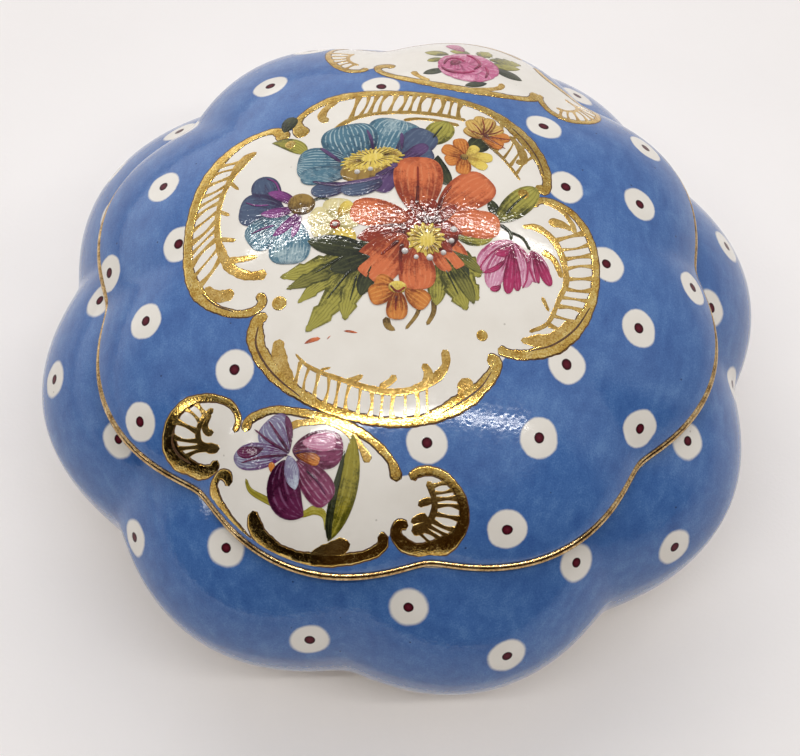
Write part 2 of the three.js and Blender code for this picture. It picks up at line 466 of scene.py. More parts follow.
# The painter's palette: each enamel deep, plain and pale. lines is how many brush strokes run side by side,
# hatch how strong the pale ones are, ink how strong the dark ones still are at the tip, and edge how strong
# the dark outline is.
PALETTE = {
    "teal": ((34, 58, 80), (78, 116, 134), (182, 200, 202), {"lines": 12, "hatch": 0.75}),
    "slate": ((50, 38, 70), (72, 86, 112), (122, 138, 156), {"lines": 6, "hatch": 0.25}),
    "violet": ((50, 28, 66), (88, 64, 106), (146, 128, 160), {"lines": 4, "hatch": 0.2}),
    "lilac": ((92, 36, 92), (130, 124, 152), (196, 206, 216), {"lines": 9, "hatch": 0.7}),
    "coral": ((136, 50, 26), (206, 110, 66), (230, 160, 114), {"lines": 7, "hatch": 0.25}),
    "red": ((70, 20, 14), (136, 46, 26), (190, 92, 58), {"lines": 5, "hatch": 0.12}),
    "orange": ((118, 48, 14), (200, 122, 54), (234, 178, 92), {"lines": 5, "hatch": 0.35}),
    "yellow": ((158, 122, 40), (222, 196, 90), (246, 232, 162), {"lines": 9, "hatch": 0.3, "edge": 0.2}),
    "cream": ((150, 136, 70), (218, 204, 150), (242, 236, 218), {"lines": 4, "hatch": 0.4, "edge": 0.35}),
    "ochre": ((78, 54, 22), (150, 120, 60), (190, 162, 92), {"lines": 4, "hatch": 0.15}),
    "amber": ((112, 64, 22), (206, 168, 88), (234, 212, 142), {"lines": 5, "hatch": 0.3, "ink": 0.3}),
    "green": ((64, 64, 24), (160, 152, 66), (196, 188, 104), {"lines": 6, "hatch": 0.25, "ink": 0.4}),
    "olive": ((44, 48, 20), (122, 118, 54), (168, 160, 84), {"lines": 5, "hatch": 0.2, "ink": 0.45}),
    "dark_green": ((26, 30, 18), (58, 62, 38), (112, 112, 62), {"lines": 4, "hatch": 0.2, "ink": 0.3}),
    "lime": ((76, 74, 18), (148, 136, 44), (192, 182, 92), {"lines": 3, "hatch": 0.25}),
    "magenta": ((106, 12, 52), (168, 42, 92), (216, 140, 176), {"lines": 3, "hatch": 0.3}),
    "blush": ((158, 52, 98), (206, 146, 172), (234, 206, 216), {"lines": 6, "hatch": 0.7}),
    "rose": ((132, 30, 78), (190, 88, 132), (236, 190, 208), {"lines": 4, "hatch": 0.35}),
    "orchid": ((84, 30, 84), (128, 62, 126), (168, 122, 168), {"lines": 5, "hatch": 0.3}),
    "plum": ((50, 12, 36), (94, 34, 68), (156, 112, 148), {"lines": 5, "hatch": 0.35}),
    "wine": ((78, 20, 46), (130, 60, 92), (196, 160, 180), {"lines": 6, "hatch": 0.45}),
    "white": ((196, 190, 186), (238, 236, 232), (252, 252, 250), {"lines": 1, "hatch": 0.2}),
}


@functools.lru_cache(maxsize=None)
def enamel(name):
    """An enamel of the palette, mixed once: deep at a petal's base, with strokes running to its tip.

    Every petal carries its own UVs: u from 0 to 1 across it and v from 0 at its base to 1 at its tip.
    """
    deep, body, pale, strokes = PALETTE[name]
    look = Look(name + "_enamel")
    deep, body, pale = srgb(*deep), srgb(*body), srgb(*pale)
    flat = look.add("ShaderNodeUVMap", {}, uv_map="stroke")
    u, v, _ = look.split(flat)
    across = look.math("ABSOLUTE", u * 2.0 - 1.0)
    brushed = look.noise(1 / MM, detail=4, roughness=0.6, where=look.scaled(flat, (15, 2.0, 1)), warp=0.8)
    patch = look.noise(1.6, detail=5, roughness=0.65)
    tone = v * 0.42 + patch * 0.8 + brushed * 0.55 + look.noise(0.3, detail=2) * 0.4
    tone = tone + look.attribute("tint") * 0.4 - across ** 2.5 * 0.14 - 0.89
    colour = look.ramp(tone, (0.02, deep), (0.3, body), (0.5, body), (0.85, pale))
    drift = look.noise(2.2, detail=2) * 3.0
    wave = look.math("SINE", u * (strokes["lines"] * TURN) + drift)
    line = look.spread(wave, 0.35, 0.95)
    broken = look.spread(look.noise(1.0), 0.38, 0.56)
    colour = look.mix(line * broken * strokes["hatch"], colour, pale)
    ink = look.spread(v, 0.8, 0.05, strokes.get("ink", 0.0), 0.5)
    colour = look.mix(look.spread(wave, -0.65, -1.0) * ink, colour, deep)
    rim = look.math("MAXIMUM", look.spread(across, 0.7, 1.0), look.spread(v, 0.88, 1.0))
    edge = look.spread(look.noise(1.3), 0.36, 0.62, 0.0, strokes.get("edge", 0.6))
    colour = look.mix(rim * edge, colour, deep)
    roughness = look.spread(look.noise(0.5, detail=4), 0.3, 0.75, 0.03, 0.08)
    return look.finish(colour, roughness, look.noise(0.42, detail=0) + line * 0.1, 0.02)


# ---------------------------------------------------------------- the two skins

# Spots on the lid, as places seen from above. All but the last two were measured in the photo, with the
# camera that was fitted to it, and rounded.
LID_SPOTS = [
    (-21.5, 30), (-4.3, 27.2), (20.3, 21.2), (37, 24.2), (34.8, 10), (43, -0.8), (33.7, -11.8),
    (23.2, 9), (29, -3), (23, -19.3), (34.2, -24.7), (19.2, -29.8), (15.2, -41), (3.8, -31.6),
    (-23.2, -21.4), (-37, -11.8), (-37, -25.6), (-44.2, -0.3), (-32.8, -0.5), (-36.4, 11),
    (-35.2, 26.5), (-16, 42.5),
]
# Spots on the bowl, as angle in degrees and step up the shoulder, in two rows. The first fifteen were
# measured in the photo in the same way, and the last ten, behind, were given one by one.
BASE_SPOTS = [
    (-167.2, 0.34), (-136.4, 0.23), (-103, 0.22), (-73, 0.23), (-41.1, 0.24), (-8.5, 0.19), (16.4, 0.385),
    (-177.5, 0.67), (-149.4, 0.57), (-120, 0.635), (-87.7, 0.55), (-57.9, 0.52), (-28.1, 0.64), (0.7, 0.613),
    (161.4, 0.55), (40, 0.3), (66, 0.26), (98, 0.3), (128, 0.24), (150, 0.26),
    (32, 0.62), (56, 0.58), (84, 0.62), (114, 0.58), (140, 0.6),
]


SPOT_FIELD = 5.5                # a spot's field is the points nearer to its centre than this
SPOT_SLICE = 2.0                # and no farther than this from its plane
SPOT_PAINT = 4.0                # a spot's paint ends inside this distance
NO_SPOT = [5.0, 5.0, 1.0]       # stored at points in no spot's field


def mark_spots(piece, centres):
    """Stores, at each point, its place in millimetres from the nearest spot's centre.

    The third number is 0 near a spot and 1 elsewhere.
    """
    points = vertex_places(piece.data)
    values = np.tile(NO_SPOT, (len(points), 1))
    nearest = np.full(len(points), SPOT_FIELD)
    for centre, normal in centres:
        across = np.cross([0, 0, 1.0], normal)
        across /= np.linalg.norm(across)
        along = np.cross(normal, across)
        offset = points - centre
        distance = np.linalg.norm(offset, axis=1)
        near = (distance < nearest) & (np.abs(offset @ normal) < SPOT_SLICE)
        nearest[near] = distance[near]
        values[near, 0] = offset[near] @ across
        values[near, 1] = offset[near] @ along
        values[near, 2] = distance[near] > SPOT_PAINT
    store(piece.data, "spot", "FLOAT_VECTOR", values)


def surface_frame(point_at, a, b, step_a, step_b):
    """The point of a surface at (a, b) and its outward normal, from two short steps along it."""
    point = point_at(a, b)
    normal = np.cross(point_at(a + step_a, b) - point, point_at(a, b + step_b) - point)
    normal /= np.linalg.norm(normal)
    return point, normal if normal @ (point - [0, 0, BELLY_HEIGHT]) > 0 else -normal


def lid_spot_frames():
    def at(x, y):
        return on_lid(np.array([x, y]))
    return [surface_frame(at, x, y, 0.1, 0.1) for x, y in LID_SPOTS]


def base_spot_frames():
    def at(angle, t):
        return place(shoulder(t)[0], np.array(angle), BODY_LOBE)
    return [surface_frame(at, math.radians(a), t, 0.002, 0.002) for a, t in BASE_SPOTS]


def inside_distance(places, outline):
    """The distance from each place to a closed outline, positive inside it."""
    start = np.asarray(outline)
    end = np.roll(start, -1, axis=0)
    nearest = np.full(len(places), np.inf)
    crossings = np.zeros(len(places), dtype=int)
    for a, b in zip(start, end):
        edge = b - a
        along = np.clip((places - a) @ edge / max(edge @ edge, 1e-9), 0, 1)
        gap = places - a - along[:, None] * edge
        nearest = np.minimum(nearest, np.hypot(gap[:, 0], gap[:, 1]))
        spans = (a[1] > places[:, 1]) != (b[1] > places[:, 1])
        if a[1] != b[1]:
            crossings += spans & (places[:, 0] < a[0] + (places[:, 1] - a[1]) * edge[0] / edge[1])
    return np.where(crossings % 2 == 1, nearest, -nearest)


PANEL_REACH = 3.0               # distances from a panel's outline are kept up to this


def mark_panels(piece):
    """Stores, at each point of the lid, how far inside the nearest white panel's outline it lies."""
    places = vertex_places(piece.data)[:, :2]
    depth = np.full(len(places), -PANEL_REACH)
    for outline in panel_outlines():
        depth = np.maximum(depth, inside_distance(places, outline))
    store(piece.data, "panel", "FLOAT", np.clip(depth, -PANEL_REACH, PANEL_REACH))


# The three materials of a skin. Its trim is the lid's gilded lip, or the bowl's bare porcelain.
PAINTED, PLAIN, TRIM = range(3)


def finish_skin(name, bands, lobe, materials, body, node):
    """A skin that replaces a CAD node in the picture and takes its place on the body."""
    points, faces, numbers = skin(bands, lobe)
    piece = new_piece(name, points, faces, materials, body, numbers)
    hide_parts(node)
    return piece


def lid_skin(materials):
    """The lid's outer dome, lip and inside, as one closed body."""
    dent = LID_LOBE["depth"]
    inner_radius = LID_RADIUS - WALL
    wall = dome(WALL_STEP)[0]
    turn = np.linspace(-1, 1, 13) * math.pi / 2
    bead_radius = wall[0] + (LID_RADIUS - wall[0]) * np.cos(turn)
    bead_height = LIP_BOTTOM + BEAD_BELOW + np.where(turn < 0, BEAD_BELOW, BEAD_ABOVE) * np.sin(turn)
    bands = [
        (dome(eased(0, 1, 30), inner_radius, DOME_RISE - WALL), PLAIN),
        (rings([inner_radius, wall[0] - 0.1], LIP_BOTTOM, dent), PLAIN),
        (rings(bead_radius, bead_height, dent), TRIM),
        (rings([wall[0] + 0.05], [RIM_HEIGHT + 0.75], dent), PAINTED),
        (dome(eased(0, WALL_STEP, 90))[::-1], PAINTED),
    ]
    piece = finish_skin("lid_porcelain", bands, LID_LOBE, materials, "cover", "lid")
    mark_spots(piece, lid_spot_frames())
    mark_panels(piece)


def base_skin(materials):
    """The bowl, from the recess under its floor to the hollow inside, as one closed body."""
    foot_inner = FOOT_RADIUS - FOOT_WIDTH
    collar_inner = COLLAR_RADIUS - COLLAR_WIDTH
    seat_step = (SEAT_HEIGHT - BELLY_HEIGHT) / (SHOULDER_TOP_HEIGHT - BELLY_HEIGHT)
    inner_radius = BODY_RADIUS - 1.05 * WALL
    inner_top = SHOULDER_TOP_HEIGHT - 2.1 * WALL
    swell = (collar_inner - SHOULDER_TOP_RADIUS) / (inner_radius - SHOULDER_TOP_RADIUS)
    mouth_step = (1 - swell ** SHOULDER_SWELL) ** (1 / SHOULDER_BEND)
    turn = np.linspace(0, math.pi / 2, 5)
    falling, rising = COLLAR_EDGE * np.cos(turn), COLLAR_EDGE * np.sin(turn)
    edge_foot = COLLAR_TOP - COLLAR_EDGE
    bands = [
        (rings([0, foot_inner - RECESS_EDGE], UNDERSIDE_HEIGHT), PLAIN),
        (rings([foot_inner], UNDERSIDE_HEIGHT - RECESS_EDGE), PLAIN),
        (rings([foot_inner, foot_inner + FOOT_EDGE], [FOOT_EDGE, INSET]), TRIM),
        (rings([FOOT_RADIUS - FOOT_EDGE, FOOT_RADIUS], [INSET, FOOT_EDGE]), TRIM),
        (underside(eased(0, 1, 44))[::-1], PAINTED),
        (shoulder(eased(0, seat_step, 44)[1:]), PAINTED),
        (rings([COLLAR_RADIUS + SEAT_WIDTH, COLLAR_RADIUS + COLLAR_EDGE], SEAT_HEIGHT), TRIM),
        (rings([COLLAR_RADIUS], SEAT_HEIGHT + COLLAR_EDGE), PLAIN),
        (rings(COLLAR_RADIUS - COLLAR_EDGE + falling, edge_foot + rising), PLAIN),
        (rings(collar_inner + COLLAR_EDGE - rising, edge_foot + falling), PLAIN),
        (shoulder(eased(0, mouth_step, 20), inner_radius, inner_top)[::-1], PLAIN),
        (underside(eased(0, 1, 24)[1:], inner_radius, FOOT_RADIUS - 0.7 * WALL, FLOOR_HEIGHT), PLAIN),
        (rings(0, FLOOR_HEIGHT), PLAIN),
    ]
    piece = finish_skin("base_porcelain", bands, BODY_LOBE, materials, "bowl", "base")
    mark_spots(piece, base_spot_frames())


# ---------------------------------------------------------------- gold scrolls

# Every stroke is a list of (x, y, half width), in millimetres seen from above. The places follow the gold in
# the photo. They were read off in a top view or in the photo, and those from the photo were turned into
# millimetres with the fitted camera.
CENTRE_LEFT = [
    (-18.3, 15.6, 1.0), (-18.9, 17.3, 1.0), (-20.6, 18.1, 0.55), (-24, 16.9, 0.55), (-27.2, 13.8, 0.75),
    (-29.6, 9.6, 0.8), (-31, 4.5, 0.65), (-31.4, -0.5, 0.6), (-30.9, -5.5, 0.7), (-29.2, -9.6, 0.9),
    (-26.6, -12.3, 0.6), (-23.4, -13.7, 0.5), (-20.9, -13.6, 0.55), (-19.7, -12.4, 0.6), (-20.4, -11, 0.5),
]
CENTRE_TOP = [
    (-15.1, 16.1, 1.2), (-16.2, 17.7, 1.0), (-16.5, 19.4, 0.6), (-15.5, 21.1, 0.5), (-13.6, 22.8, 0.55),
    (-11, 24.1, 0.8), (-8, 24.9, 0.7), (-4, 25.4, 0.6), (0, 25.3, 0.5), (5, 24.6, 0.5), (9, 23.5, 0.55),
    (12, 22.2, 0.7), (14.8, 20.1, 0.9), (17.2, 17.3, 1.05), (19, 14.3, 0.9), (20.1, 11.4, 0.75),
    (20.4, 8.8, 0.6), (19.9, 7.2, 0.6), (18.8, 8.2, 0.95),
]
CENTRE_RIGHT = [
    (18.3, 4, 0.6), (18.6, 5.2, 0.6), (20.8, 5.6, 0.5), (23.6, 4.6, 0.5), (25.9, 2, 0.55), (27.1, -1.6, 0.5),
    (27.3, -5.6, 0.5), (26.6, -9.8, 0.6), (24.6, -13.8, 0.9), (21.6, -17, 1.0), (18, -18.9, 0.7),
    (15, -19.3, 0.6), (13.2, -18.8, 0.7),
]
CENTRE_BOTTOM = [
    (-18.8, -14.6, 0.5), (-20.1, -14.9, 0.8), (-20.5, -16.8, 1.15), (-19.9, -19.2, 1.1), (-18.2, -21.7, 1.0),
    (-16, -24, 0.85), (-13.2, -26, 0.7), (-10, -27.7, 0.6), (-5.5, -29, 0.6), (-1, -29.4, 0.6),
    (3, -28.9, 0.65), (6.2, -27.7, 1.0), (9, -26, 1.2), (11.3, -24, 0.9), (12.8, -21.9, 0.8),
    (12.9, -20.6, 0.8), (11.7, -20.6, 1.2),
]
CENTRE_LEFT_INNER = [
    (-22.3, 14, 0.25), (-24, 12.6, 0.9), (-25.6, 9.6, 0.55), (-26.8, 6, 0.4), (-27.2, 2.5, 0.45),
    (-26.9, -1, 0.5), (-26, -4, 0.7), (-24.5, -6.6, 0.8), (-22, -8.1, 0.75), (-19.3, -8.2, 0.85),
]
CENTRE_TOP_INNER = [
    (-10.8, 15.6, 0.7), (-10.4, 17.4, 0.5), (-8.2, 19.2, 0.45), (-5, 20.3, 0.4), (0, 20.7, 0.4),
    (5, 20.3, 0.4), (8.5, 19.6, 0.35),
]
CENTRE_TOP_FEATHER = [(11.6, 15.2, 0.3), (13.6, 12.9, 0.25), (15.2, 10.6, 0.25), (16.4, 8.6, 0.2)]
CENTRE_RIGHT_INNER = [
    (16.6, 0.4, 0.3), (18.6, 0.6, 0.6), (20.6, -0.5, 0.6), (22, -2.6, 0.55), (22.7, -5, 0.5),
    (22.9, -7.6, 0.45), (22, -10, 0.35), (20.3, -14, 0.3), (17.6, -15.8, 0.25),
]
CENTRE_BOTTOM_INNER = [
    (-14.7, -20.1, 0.1), (-13.3, -21.6, 0.25), (-11.5, -22.7, 0.3), (-9.3, -23.6, 0.35), (-7.5, -24.2, 0.35),
    (-5, -25, 0.45), (-2.5, -25.5, 0.5), (0, -25.5, 0.5), (2.5, -24.8, 0.6), (4.8, -23.4, 0.7),
    (6, -21.8, 0.6), (6, -20.3, 0.6), (5.6, -19.6, 0.45),
]
FRONT_TOP = [
    (-21.4, -29.5, 0.6), (-20.9, -28.2, 0.65), (-19.4, -27.6, 0.5), (-17.4, -27.3, 0.45), (-15, -27.7, 0.45),
    (-12, -28.4, 0.5), (-9, -29.2, 0.6), (-6.8, -30.1, 0.65), (-4.6, -31.2, 0.5), (-2.6, -32.6, 0.5),
    (-1, -34.2, 0.5), (-0.3, -35.8, 0.75), (-0.2, -36.5, 0.7),
]
FRONT_LEFT_FAN = [
    (-22.9, -29.3, 0.4), (-22.4, -27.7, 0.35), (-23.4, -25.9, 0.35), (-25.4, -24.9, 0.4), (-28, -24.5, 0.5),
    (-30.6, -25.1, 0.7), (-32.3, -26.9, 0.75), (-32.5, -29, 0.95), (-31.4, -30.9, 1.0), (-29.6, -32, 0.8),
    (-27.8, -32.9, 0.7), (-26.1, -33, 0.7), (-25.3, -32.1, 0.55),
]
FRONT_LEFT_FAN_INNER = [
    (-26, -26, 0.35), (-27.4, -26.9, 0.45), (-28.2, -28.4, 0.4), (-27.8, -29.9, 0.45), (-26.2, -30.6, 0.6),
    (-25, -30.8, 0.4),
]
FRONT_LEFT_SIDE = [
    (-23.5, -35.6, 0.45), (-23.8, -34.4, 0.6), (-24.9, -33.9, 0.5), (-25.8, -34.8, 0.5), (-25.6, -36, 0.55),
    (-24.7, -37.6, 0.5), (-23.3, -39.3, 0.35), (-21.7, -41, 0.3), (-20.3, -42.4, 0.25),
]
FRONT_BOTTOM = [
    (-20, -39.1, 0.7), (-19.8, -40.5, 0.85), (-18.8, -42.1, 0.85), (-17.2, -43.5, 0.8), (-15, -44.6, 0.7),
    (-12.3, -45.2, 0.65), (-9.5, -45.4, 0.6), (-7, -45.3, 0.55), (-4.6, -44.9, 0.5), (-2.7, -44.2, 0.55),
    (-1.7, -43.2, 0.7), (-2.6, -42.8, 0.95),
]
FRONT_RIGHT_FAN = [
    (1.7, -36.1, 0.6), (2.4, -35.3, 0.55), (4.1, -34.9, 0.5), (6.1, -35.4, 0.5), (8, -36.9, 0.5),
    (9.1, -38.9, 0.6), (9.0, -40.9, 0.7), (7.8, -42.4, 0.85), (5.8, -43.1, 0.9), (3.2, -43.5, 0.6),
    (1, -43.2, 0.7), (-0.1, -42.2, 0.75), (0.4, -41.2, 0.55), (1.6, -41.2, 0.4),
]
FRONT_RIGHT_FAN_INNER = [
    (4, -36.1, 0.4), (4.8, -37.5, 0.45), (5.1, -39, 0.45), (4.6, -40.3, 0.5), (3.4, -41.3, 0.6),
    (2, -41.7, 0.55),
]
BACK_BOTTOM = [
    (-2.5, 33.1, 0.6), (-3.4, 33.9, 0.65), (-4.8, 33.4, 0.55), (-4.9, 32.2, 0.5), (-3.7, 31, 0.5),
    (-1.5, 29.8, 0.55), (1, 28.8, 0.6), (4, 27.9, 0.7), (7, 27.3, 0.75), (10, 27, 0.75), (13, 26.9, 0.6),
    (16, 27.1, 0.5), (18.3, 27.7, 0.6), (19.3, 28.8, 0.75), (18.9, 30, 0.6),
]
BACK_RIGHT = [
    (20.2, 30, 0.5), (20.2, 28.2, 0.45), (21.6, 25.9, 0.45), (24, 24.5, 0.45), (26.9, 25.1, 0.4),
    (29, 27, 0.4), (29.6, 29.8, 0.4), (28.6, 32, 0.4), (26, 34, 0.5), (23, 35.8, 0.5), (21.2, 37.6, 0.45),
    (20, 40, 0.4),
]
BACK_RIGHT_INNER = [(22.6, 27.6, 0.3), (24.4, 27.5, 0.3), (26, 28.8, 0.3), (26, 30.6, 0.3), (24.4, 32, 0.35)]
BACK_TOP = [
    (-9, 43.2, 0.4), (-4.5, 43, 0.45), (-1, 44.2, 0.4), (4, 45.4, 0.4), (9, 45.4, 0.4), (14, 44, 0.4),
    (18, 41.8, 0.45),
]
BACK_LEFT = [
    (-6.6, 32.9, 0.5), (-7.6, 31.9, 0.45), (-9.6, 32, 0.45), (-11.3, 33.5, 0.45), (-12.6, 36, 0.4),
    (-13, 38.8, 0.4), (-12.2, 41.4, 0.35), (-10, 43.2, 0.4),
]
BACK_LEFT_INNER = [(-8, 33.8, 0.3), (-9.4, 35.2, 0.3), (-9.8, 37.2, 0.3), (-9, 39, 0.35)]

SCROLLS = [
    CENTRE_LEFT, CENTRE_TOP, CENTRE_RIGHT, CENTRE_BOTTOM, FRONT_TOP, FRONT_LEFT_FAN, FRONT_LEFT_SIDE,
    FRONT_BOTTOM, FRONT_RIGHT_FAN, BACK_BOTTOM, BACK_RIGHT, BACK_TOP, BACK_LEFT,
]
INNER_SCROLLS = [
    CENTRE_LEFT_INNER, CENTRE_TOP_INNER, CENTRE_TOP_FEATHER, CENTRE_RIGHT_INNER, CENTRE_BOTTOM_INNER,
    FRONT_LEFT_FAN_INNER, FRONT_RIGHT_FAN_INNER, BACK_RIGHT_INNER, BACK_LEFT_INNER,
]
# Short sprouts, hooks and leaves that branch off the scrolls.
SPROUTS = [
    [(-25.9, 8.6, 0.35), (-24.4, 6.8, 0.2)],
    [(-27.1, 3.5, 0.35), (-25.4, 2.4, 0.25)],
    [(-26.7, -1.3, 0.4), (-24.2, -2, 0.3)],
    [(-25.3, -5.3, 0.7), (-22.6, -5.3, 0.5), (-20.8, -5.2, 0.3)],
    [(-28.2, -8.9, 0.5), (-26.2, -10.6, 0.9), (-23.8, -10.6, 1.1)],
    [(-10.9, 23.7, 0.6), (-12.5, 21.6, 0.6), (-12.9, 19.8, 0.7), (-11.9, 18.8, 0.75)],
    [(-0.8, 18.9, 0.35), (1.5, 19.3, 0.3), (4.5, 19, 0.3), (7.5, 18.3, 0.35)],
    [(15, 17.5, 0.3), (16.5, 15, 0.6), (17, 12.6, 0.7), (15.8, 11.9, 0.5)],
    [(19.6, 5.5, 0.4), (22.4, 4.4, 0.35), (24, 2.4, 0.4), (24.3, 0.8, 0.4)],
    [(24, 1.4, 0.4), (22.3, 2, 0.7), (20.4, 2, 0.8)],
    [(19.4, -3.2, 0.6), (21.2, -4.4, 0.5), (22.3, -7, 0.4)],
    [(16.4, -17.2, 0.3), (18.6, -16.9, 0.9), (21.3, -15.9, 0.8), (23.6, -13.2, 0.5)],
    [(19.4, -10.4, 0.3), (20.4, -12.4, 0.25)],
    [(-17, -17.9, 0.8), (-17.1, -19.6, 1.0), (-16.2, -22.2, 0.95), (-15, -24, 0.6)],
    [(8.3, -23.3, 1.3), (8.9, -24.6, 1.2), (8.4, -26.2, 0.9)],
    [(-11.2, -22.6, 0.2), (-9.7, -22.3, 0.15)],
    [(-7.6, -24.2, 0.3), (-6.2, -23.9, 0.4), (-5.2, -23.4, 0.3)],
    [(-3, -25, 0.4), (-1.6, -24.3, 0.5), (-0.7, -23.3, 0.5)],
    [(3.4, -24.6, 0.7), (3.7, -22.9, 0.65), (2.9, -21.6, 0.55)],
    [(-15.6, -30.5, 0.35), (-14.5, -29.5, 0.5), (-12.2, -29.3, 0.45), (-9.9, -29.4, 0.4), (-8, -30.1, 0.45),
     (-6.3, -31.4, 0.5), (-5, -32.8, 0.5), (-4, -34.4, 0.7)],
    [(-26.4, -26.4, 0.35), (-27.2, -27.8, 0.45), (-26.8, -28.7, 0.5), (-25.9, -28.8, 0.35)],
    [(-12, -45, 0.4), (-9.6, -44.4, 0.8), (-7.7, -44, 0.95), (-6.3, -43.7, 0.5)],
    [(4.8, -38.2, 0.4), (3.6, -38.5, 0.5), (2.8, -38.9, 0.35)],
    [(4.2, -40, 0.5), (3, -40.3, 0.5), (1.9, -40.8, 0.35)],
    [(0.4, 31.8, 0.6), (1.2, 30.4, 0.45), (3, 28.9, 0.4)],
    [(14.2, 30.4, 0.5), (13.8, 29, 0.5), (11.8, 27.9, 0.5), (9, 27.4, 0.4)],
]
# Rows of rungs: outer scroll, its stretch, inner scroll, its stretch, how many, half width.
LADDERS = [
    (CENTRE_LEFT, (0.26, 0.74), CENTRE_LEFT_INNER, (0.06, 0.72), 12, 0.26),
    (CENTRE_TOP, (0.26, 0.57), CENTRE_TOP_INNER, (0.16, 0.98), 12, 0.24),
    (CENTRE_TOP, (0.66, 0.86), CENTRE_TOP_FEATHER, (0.15, 0.95), 4, 0.18),
    (CENTRE_RIGHT, (0.24, 0.72), CENTRE_RIGHT_INNER, (0.2, 0.9), 10, 0.24),
    (CENTRE_BOTTOM, (0.27, 0.72), CENTRE_BOTTOM_INNER, (0.02, 0.8), 13, 0.2),
    (FRONT_LEFT_FAN, (0.34, 0.78), FRONT_LEFT_FAN_INNER, (0.1, 0.9), 6, 0.24),
    (FRONT_RIGHT_FAN, (0.22, 0.68), FRONT_RIGHT_FAN_INNER, (0.05, 0.95), 9, 0.22),
    (BACK_RIGHT, (0.18, 0.55), BACK_RIGHT_INNER, (0.05, 0.95), 7, 0.2),
    (BACK_LEFT, (0.2, 0.75), BACK_LEFT_INNER, (0.05, 0.95), 6, 0.2),
]
# Thin dark lines along the middles of the broadest scrolls.
ENGRAVED = [
    [(-20.1, -15.8, 0.08), (-20.3, -18.4, 0.14), (-18.8, -21.2, 0.14), (-16.6, -23.6, 0.12),
     (-13.7, -26, 0.06)],
    [(15.4, 19.4, 0.06), (17.6, 16.4, 0.12), (19.2, 13.2, 0.1), (20, 10.4, 0.05)],
    [(26.4, -10.6, 0.06), (24.2, -14.2, 0.12), (21, -17, 0.12), (17.4, -18.6, 0.06)],
    [(12.4, -22, 0.05), (11, -24.2, 0.1), (8.6, -26.2, 0.12), (5.6, -28, 0.06)],
    [(-28.6, -9.8, 0.05), (-26.4, -12, 0.1), (-23.6, -13.4, 0.06)],
    [(-31.6, -27.2, 0.05), (-32, -29, 0.12), (-31, -30.6, 0.12), (-29.2, -31.8, 0.06)],
]
GOLD_DOTS = [(-17.3, -12.8, 1.05), (11, -17.2, 0.8), (-17.3, 14.6, 0.8), (16.9, 6.1, 1.0)]
GOLD_HEIGHT = 0.035               # thickness of the gold scrolls
DOT_HEIGHT = 0.05                 # how much the round gold dots bulge
LINE_LIFT = 0.02                  # thickness of the brown lines
EDGE_SINK = 0.03                  # how far the edges of paint dip into the glaze
PAINT_LAYER = 0.018               # thickness of one layer of paint
PAINT_LIMIT = 0.981               # paint stays within this part of the lid's radius
CURVE_STEP = 0.3                  # distance between the points of a stroke


def smooth_curve(knots, step=CURVE_STEP):
    """Rows along a smooth curve through the knots, evenly spaced by the first two numbers."""
    knots = np.asarray(knots, float)
    padded = np.concatenate([[2 * knots[0] - knots[1]], knots, [2 * knots[-1] - knots[-2]]])
    t = np.linspace(0, 1, 17)[:-1, None]
    rows = []
    for a, b, c, d in zip(padded, padded[1:], padded[2:], padded[3:]):
        square = 2 * a - 5 * b + 4 * c - d
        cube = 3 * b - a - 3 * c + d
        rows.append(0.5 * (2 * b + (c - a) * t + square * t ** 2 + cube * t ** 3))
    dense = np.concatenate(rows + [knots[-1:]])
    run = np.concatenate([[0], np.cumsum(np.hypot(*np.diff(dense[:, :2], axis=0).T))])
    even = np.linspace(0, run[-1], max(3, int(run[-1] / step) + 1))
    return np.stack([np.interp(even, run, column) for column in dense.T], axis=-1)


def at_fraction(curve, fraction):
    """The place at a fraction of a curve's length."""
    position = fraction * (len(curve) - 1)
    index = min(int(position), len(curve) - 2)
    return curve[index, :2] + (position - index) * (curve[index + 1, :2] - curve[index, :2])


def panel_outlines():
    """The outlines of the three white panels, along the middles of their gold scrolls."""
    def middle(scroll, start=0, end=None):
        return [knot[:2] for knot in scroll[start:end]]

    centre = (middle(CENTRE_LEFT, 2, -2) + middle(CENTRE_BOTTOM, 1, -2)
              + middle(CENTRE_RIGHT, 1, -1)[::-1] + middle(CENTRE_TOP, 1, -2)[::-1])
    front = (middle(FRONT_LEFT_FAN, 1, -1) + middle(FRONT_LEFT_SIDE, 2) + middle(FRONT_BOTTOM, 2, -1)
             + middle(FRONT_RIGHT_FAN, 1, -1)[::-1] + middle(FRONT_TOP, 1, -1)[::-1])
    back = (middle(BACK_BOTTOM, 2, -1) + middle(BACK_RIGHT, 1)
            + middle(BACK_TOP)[::-1] + middle(BACK_LEFT, 1)[::-1])
    closed = [outline + outline[:1] for outline in (centre, front, back)]
    return [keep_on_dome(smooth_curve(outline, step=0.5)[:-1]) for outline in closed]


def keep_on_dome(places):
    """Places pulled in, where needed, so that paint stays off the lip."""
    places = np.array(places, float)
    reach = np.hypot(places[..., 0], places[..., 1])
    angle = np.arctan2(places[..., 1], places[..., 0])
    limit = PAINT_LIMIT * LID_RADIUS * lobed(angle, LID_LOBE["depth"], LID_LOBE)
    return places * np.minimum(1, limit / np.maximum(reach, 1e-6))[..., None]


